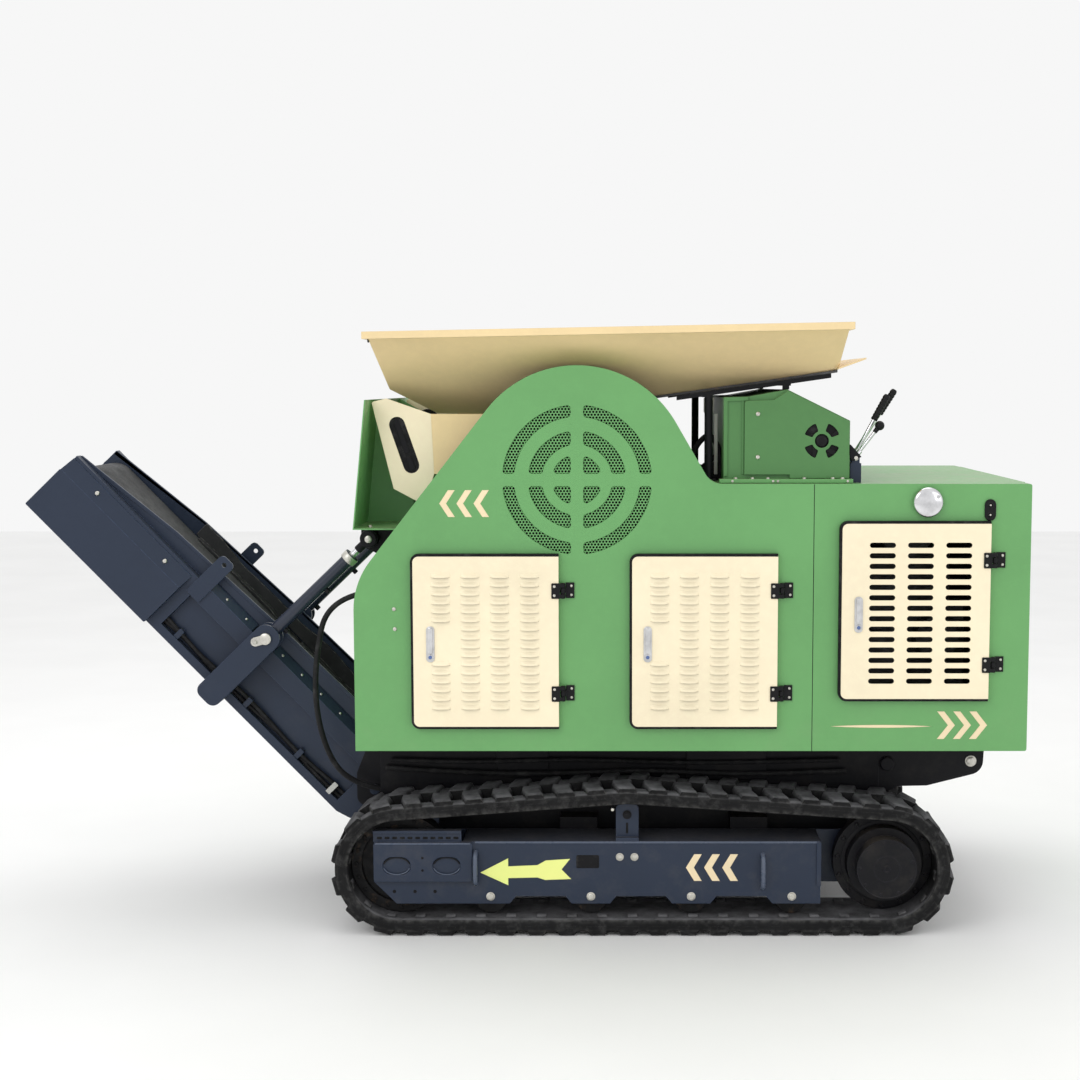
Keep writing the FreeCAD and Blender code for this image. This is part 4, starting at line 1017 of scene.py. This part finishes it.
def track_frame_details(label, place):
    """Cover, beads, eyes, slots, bolts and stickers of one track frame; beads, eyes and oval lips in lighter
    navy as painted highlight, black marks as painted shade in holes and slots and as painted shadow along the
    ovals' tops.
    """
    axis = place(0, -1, 0)
    navy, dark, light = [], [], []
    ovals = [pill((x, 219), (x + 32, 219), 28) for x in (-373, -216)]
    navy.append(plate([rect(-430, -120, 168, 293, 9)] + ovals, TF - 6, TF, NAVY, 2.6, place))
    # Bead along the cover's top edge in the lighter navy: painted highlight.
    bead = [(x, TF - 5, 290.5) for x in (-424, -275, -126)]
    navy.append(tube(bead, 2.6, NAVY_HIGHLIGHT, 10, 1, place))
    # Lighter navy tube along each oval's lower lip as painted highlight, black tube along its top as painted
    # shadow.
    for x in (-357, -200):
        lip = [(x + 42 * cos(a), 219 + 27 * sin(a)) for a in (pi * (1.08 + 0.14 * k) for k in range(7))]
        navy.append(tube([(u, TF - 5.2, v) for u, v in lip], 1.7, NAVY_HIGHLIGHT, 8, 3, place))
        dark.append(tube([(u, TF - 4, 438 - v) for u, v in lip], 2.2, SEAL, 8, 3, place))
    # Thin black discs at the holes: painted shade inside them.
    for x, z, r, y in ((-276, 245, 4, TF - 6), (-276, 205, 4, TF - 6), (-367, 133, 5.5, TP),
                       (-302, 133, 5.5, TP), (-239, 133, 5.5, TP)):
        dark.append(lathe([(r, -0.3), (r, 0.4), (0, 0.4)], place(x, y, z), axis, SEAL, 16))
    dark.append(plate([rect(206, 278, 208, 250, 5)], TP - 0.6, TP, SEAL, 0.2, place))
    # Thin black flats drawn as slots: painted shade in place of openings.
    for k in range(11):
        dark.append(plate([rect(-420 + 24 * k, -404 + 24 * k, 301, 309, 3)], TP - 0.5, TP, SEAL, 0.2, place))
    navy.append(plate([rect(-432, -155, 322, 329, 1)], TP - 8, TP, NAVY, 0.8, place))
    navy.append(eye_loop(-110, 158, 262, TF + 8, place))
    navy.append(eye_loop(793, 144, 253, TP, place))
    # Bead along the frame's top edge in the lighter navy: painted highlight.
    bead = [(x, TP + 2, 290.5) for x in (-112, 430, 972)]
    navy.append(tube(bead, 4.0, NAVY_HIGHLIGHT, 12, 1, place))
    navy.append(plate([rect(962, 976, 150, 293, 3)], TP - 6, TP, NAVY, 1.5, place))
    for x in (-64, 252, 568, 885):
        light += hex_bolt(place(x, TP, 117), axis, 22, ZINC, 7)
    light += [b for x in (343, 389) for b in hex_bolt(place(x, TP, 244), axis, 20, ZINC, 6)]
    dark.append(lathe([(14, 0), (14, 3), (9, 3), (9, 9), (7, 10), (0, 10)], place(366, -546, 375), axis, BLACK,
                      24))
    # Thin black slot shape: painted shade in place of an opening.
    dark.append(plate([pill((366, 318), (366, 346), 3.5)], -546.8, -546, SEAL, 0.3, place))
    light.append(lathe([(5, 0), (5, 16), (0, 17)], place(320, -536, 392), axis, ZINC, 12))
    piece("track_frame_trim_and_highlights_" + label, "machine", navy)
    piece("track_frame_slots_and_shade_" + label, "machine", dark)
    piece("track_frame_bolts_" + label, "machine", light)
    arrow = [(-96, 194), (-8, 240), (-8, 214), (84, 218), (110, 233), (187, 238), (160, 204), (190, 173),
             (108, 170), (84, 178), (-8, 176), (-8, 153)]
    parts = [plate([arrow], TP - 0.7, TP, ARROW, 0.15, place)]
    for k in range(3):
        a = 551 + 57 * k
        pts = [(a, 210), (a + 26, 253), (a + 50, 253), (a + 25, 210), (a + 50, 167), (a + 26, 167)]
        parts.append(plate([pts], TP - 0.7, TP, STICKER, 0.15, place))
    piece("track_frame_stickers_" + label, "machine", parts)


def ring_spots(count, turn, x, y, r, place):
    """Points evenly round a track wheel."""
    for k in range(count):
        u, v = polar(x, AXLE_Z, r, 2 * pi * k / count + turn)
        yield place(u, y, v)


def drive_details(label, place):
    """Bolts and rings of one final drive, and the studs of its idler."""
    axis = place(0, -1, 0)
    parts = []
    for spot in ring_spots(15, 0.1, SPROCKET_X, -490, 145, place):
        parts += hex_bolt(spot, axis, 13, BLACK, 7)
    for spot in ring_spots(9, 0.3, SPROCKET_X, -588, 84, place):
        parts += dome(spot, axis, 5, 2, BLACK)
    parts.append(lathe([(95, -3), (95, 0.6), (93, 1.5), (92, 1.5), (91.4, 0.6), (43, 0.6), (42, 1.4), (40, 1.4),
                        (39, 0.6), (12, 0.6), (11.5, 2.4), (8, 2.4), (7, 1), (0, 1)],
                       place(SPROCKET_X, -588, AXLE_Z), axis, BLACK, 56))
    parts.append(lathe([(132, -8), (132, 0), (130, 1), (119, 1), (118, -6), (117, -8)],
                       place(SPROCKET_X, -490, AXLE_Z), axis, BLACK, 56))
    piece("final_drive_trim_" + label, "machine", parts)
    piece("idler_studs_" + label, "machine",
          [lathe([(6, -1), (6, 3), (4, 4.5), (0, 4.5)], spot, axis, GREASY, 10)
           for spot in ring_spots(20, 0, IDLER_X, -520, 141, place)])


for label, place in SIDES:
    track_frame_details(label, place)
    drive_details(label, place)

# ---- chassis and rear bracket

BEAM_Y = -330               # outer face of the near chassis beam
parts = []
for place in (flat, mirrored):
    out = place(0, -1, 0)
    parts += hex_bolt(place(1490, BEAM_Y, 498), out, 30, ZINC, 8)
    for x in (-40, 20, 200, 260, 460, 520, 700, 760, 960, 1020):
        parts += hex_bolt(place(x, BEAM_Y, 540), out, 22, BLACK, 7)
    parts.append(lathe([(24, 0), (24, 10), (20, 14), (0, 14)], place(1216, BEAM_Y, 490), out, BLACK))
    parts.append(plate([rect(-60, 110, 470, 560, 8)], BEAM_Y - 10, BEAM_Y, BLACK, 2.0, place))
    parts.append(plate([rect(560, 820, 440, 570, 8)], BEAM_Y - 12, BEAM_Y, BLACK, 2.0, place))
    for r, line in ((8, [(-420, -345, 480), (-200, -352, 468), (60, -356, 462), (420, -352, 470),
                         (760, -356, 462), (1080, -350, 470)]),
                    (7, [(-400, -345, 505), (-150, -350, 500), (200, -352, 506), (600, -354, 498),
                         (1060, -348, 505)])):
        parts.append(tube(line, r, HOSE, place=place))
piece("chassis_fittings", "machine", parts)

# ---- conveyor


def wedge(x0, x1, a, b, c, place):
    """Three-sided strip along the conveyor; a, b and c are (y, z) corners."""
    verts = [place(x, y, z) for x in (x0, x1) for y, z in (a, b, c)]
    turn = -1 if place is conv_far else 1
    return verts, [f[::turn] for f in ((0, 1, 2), (5, 4, 3), (0, 3, 4, 1), (1, 4, 5, 2), (2, 5, 3, 0))], NAVY


def strip_normal(place, rise, out):
    """Outward direction of a sloped strip that goes out as it drops."""
    d = Vector(place(0, -rise, out)) - Vector(place(0, 0, 0))
    return tuple(d.normalized())


parts = []
for place in (conv, conv_far):
    for x in (-1330, -1020):
        parts += dome(place(x, -251, 39), strip_normal(place, 50, 29), 8, 7, ZINC, socket=False)
    for x in (-860, -790, -700, -530, -440, -350, -260, -150):
        parts += dome(place(x, -218, 87.5), strip_normal(place, 24, 33), 5, 4, ZINC, socket=False)
piece("conveyor_bolts", "conveyor", parts)

parts = []
for place in (conv, conv_far):
    parts.append(wedge(-1466, -925, (-265, 14), (-236, 64), (-236, 14), place))
    for x0, x1 in ((-902, -660), (-560, -100)):
        parts.append(wedge(x0, x1, (-235, 75), (-202, 99), (-202, 75), place))
    parts.append(plate([rect(-925, 10, -122, 15, 1)], -206, -203, NAVY, 0.8, place))
    top_edge = rounded([(-1462, 62), (-1462, 78, 3), (-1066, 124), (-600, 146), (56, 162, 20), (58, 152, 14),
                        (-600, 136), (-1068, 114)])
    parts.append(plate([top_edge], -200, -190, NAVY, 1.0, place))
    parts.append(plate([rect(-1462, -925, 12, 15, 0.5)], -236, -206, NAVY, 0.6, place))
piece("conveyor_side_sheets", "conveyor", parts)


def wavy_strip(x0, x1, y0, y1, z0, z1, place, seed):
    """Rubber skirt edge with slight waves and nicks."""
    rnd = random.Random(seed)
    n = 60
    verts, faces = [], []
    for i in range(n + 1):
        t = i / n
        x = x0 + (x1 - x0) * t
        w = 5 * sin(9 * t + seed) + 3 * sin(23 * t) + rnd.uniform(-1.5, 1.5)
        for y, z in ((y0, z0), (y1, z0), (y1 + w * 0.3, z1 + w), (y0 + w * 0.3, z1 + w)):
            verts.append(place(x, y, z))
    for i in range(n):
        for k in range(4):
            q = (k + 1) % 4
            faces.append((4 * i + k, 4 * i + q, 4 * i + 4 + q, 4 * i + 4 + k))
    faces += [(3, 2, 1, 0), (4 * n, 4 * n + 1, 4 * n + 2, 4 * n + 3)]
    return verts, faces, SKIRT


parts = []
for place, seed in ((conv, 1), (conv_far, 2)):
    parts.append(wavy_strip(-1060, -60, -190, -182, 72, 118, place, seed))
    parts.append(wavy_strip(-1040, -60, -182, -150, 68, 74, place, seed + 4))
piece("conveyor_skirt_strips", "conveyor", parts, replaces=["conveyor_skirts"])

# Hydraulic lines clipped along the lower rails
parts = []
for k, (y, z) in enumerate(((-216, -112), (-222, -100))):
    pts = [(-900 + 88 * i, y + 3 * sin(2.1 * i + k), z + 5 * sin(1.3 * i + 2 * k)) for i in range(11)]
    parts.append(tube(pts, 7, HOSE, 12, 6, conv))
for x in (-820, -500, -260):
    parts.append(plate([rect(x - 9, x + 9, -124, -88, 3)], -231, -207, NAVY, 1.0, conv))
parts.append(plate([rect(-110, -92, -128, -84, 3)], -236, -232, PALE, 0.8, conv))
piece("conveyor_lines", "conveyor", parts)

# Keeper plates and pin heads of the lift cylinders
A_X, A_Z = -606.0, 112.0
parts = []
for place, out in ((conv, -1), (conv_far, 1)):
    tear = pill((A_X - 16, A_Z - 30), (A_X + 2, A_Z + 2), 15)
    parts.append(plate([tear], -325, -318, ZINC, 1.6, place))
    parts.append(lathe([(19, 0), (19, 8), (16, 10), (0, 10)], place(A_X, -318, A_Z), (0, out, 0), ZINC))
    parts += hex_bolt(place(A_X - 16, -325, A_Z - 30), (0, out, 0), 14, ZINC)
piece("lift_pin_keepers", "conveyor", parts)

PIN_A = conv(A_X, -286, A_Z)
PIN_B = (-472.0, -286.0, 1224.0)
LINK = Vector(PIN_B) - Vector(PIN_A)
n, span = LINK.normalized(), LINK.length
ACROSS = Vector((0.69, 0, -0.72))   # square to the cylinders, down and to the back
parts = []
for place in (flat, mirrored):
    a = place(*PIN_A)
    gland = [(22.2, 104), (26, 104), (27, 102), (27, 82), (25, 79), (13, 79), (12, 78), (12, 76)]
    parts.append(lathe([(r, span - h) for r, h in gland], a, n, ZINC, 32))
    for h in (60, 250):
        side = Vector(a) + n * h + ACROSS * 20
        parts.append(lathe([(9, 0), (9, 12), (7, 14), (0, 14)], side, ACROSS, BLACK, 18))
piece("lift_barrel_trim", "lift_barrels", parts)
parts = []
for place in (flat, mirrored):
    a = place(*PIN_A)
    parts.append(lathe([(0, 80), (10.9, 80), (10.9, span - 50), (0, span - 50)], a, n, CHROME, 32))
    shank = [(0, 56), (12, 56), (14, 53), (14, 27), (0, 27)]
    parts.append(lathe([(r, span - h) for r, h in shank], a, n, BLACK))
    eye = [circle(*PIN_B[::2], 30, 48), circle(*PIN_B[::2], 18, 40)]
    parts.append(plate(eye, -301, -271, BLACK, 2.4, place))
piece("lift_rod_eyes", "lift_rods", parts, replaces=["lift_rods"])
piece("upper_pin_caps", "machine",
      [lathe([(0, 0), (12, 0), (12, 2), (10, 3.5), (0, 3.5)], place(PIN_B[0], -313, PIN_B[2]),
             place(0, -1, 0), ZINC) for place in (flat, mirrored)])

# ---- floor and light


def floor():
    m = Look("floor", Specular_IOR_Level=0.2)
    c = m.mix(m.span(m.noise(1.2, 3), 0.3, 0.7), (0.90, 0.90, 0.895), (0.93, 0.93, 0.925))
    mat = m.finish(c, 0.85)
    mesh = bpy.data.meshes.new("floor")
    w = 14
    mesh.from_pydata([(-w, -w, -0.001), (w, -w, -0.001), (w, w, -0.001), (-w, w, -0.001)], [], [(0, 1, 2, 3)])
    mesh.materials.append(mat)
    obj = new_object("floor", mesh)


def lamp(name, location, target, size, power):
    data = bpy.data.lights.new(name, "AREA")
    data.shape, data.size, data.size_y, data.energy = "RECTANGLE", size[0], size[1], power
    obj = new_object(name, data)
    obj.location = location
    obj.rotation_euler = (Vector(target) - Vector(location)).to_track_quat("-Z", "Y").to_euler()


floor()
lamp("key", (-3.2, -5.2, 4.6), (0, 0, 0.9), (3.5, 2.5), 75)
lamp("fill", (4.4, -4.6, 2.6), (0, 0, 0.9), (3, 2.5), 20)
lamp("top", (0.3, 1.2, 5.2), (0, 0, 1), (5, 3), 70)
world = bpy.data.worlds.new("studio")
bpy.context.scene.world = world
world.use_nodes = True
world.node_tree.nodes["Background"].inputs[0].default_value = (1, 1, 1, 1)
world.node_tree.nodes["Background"].inputs[1].default_value = 0.93
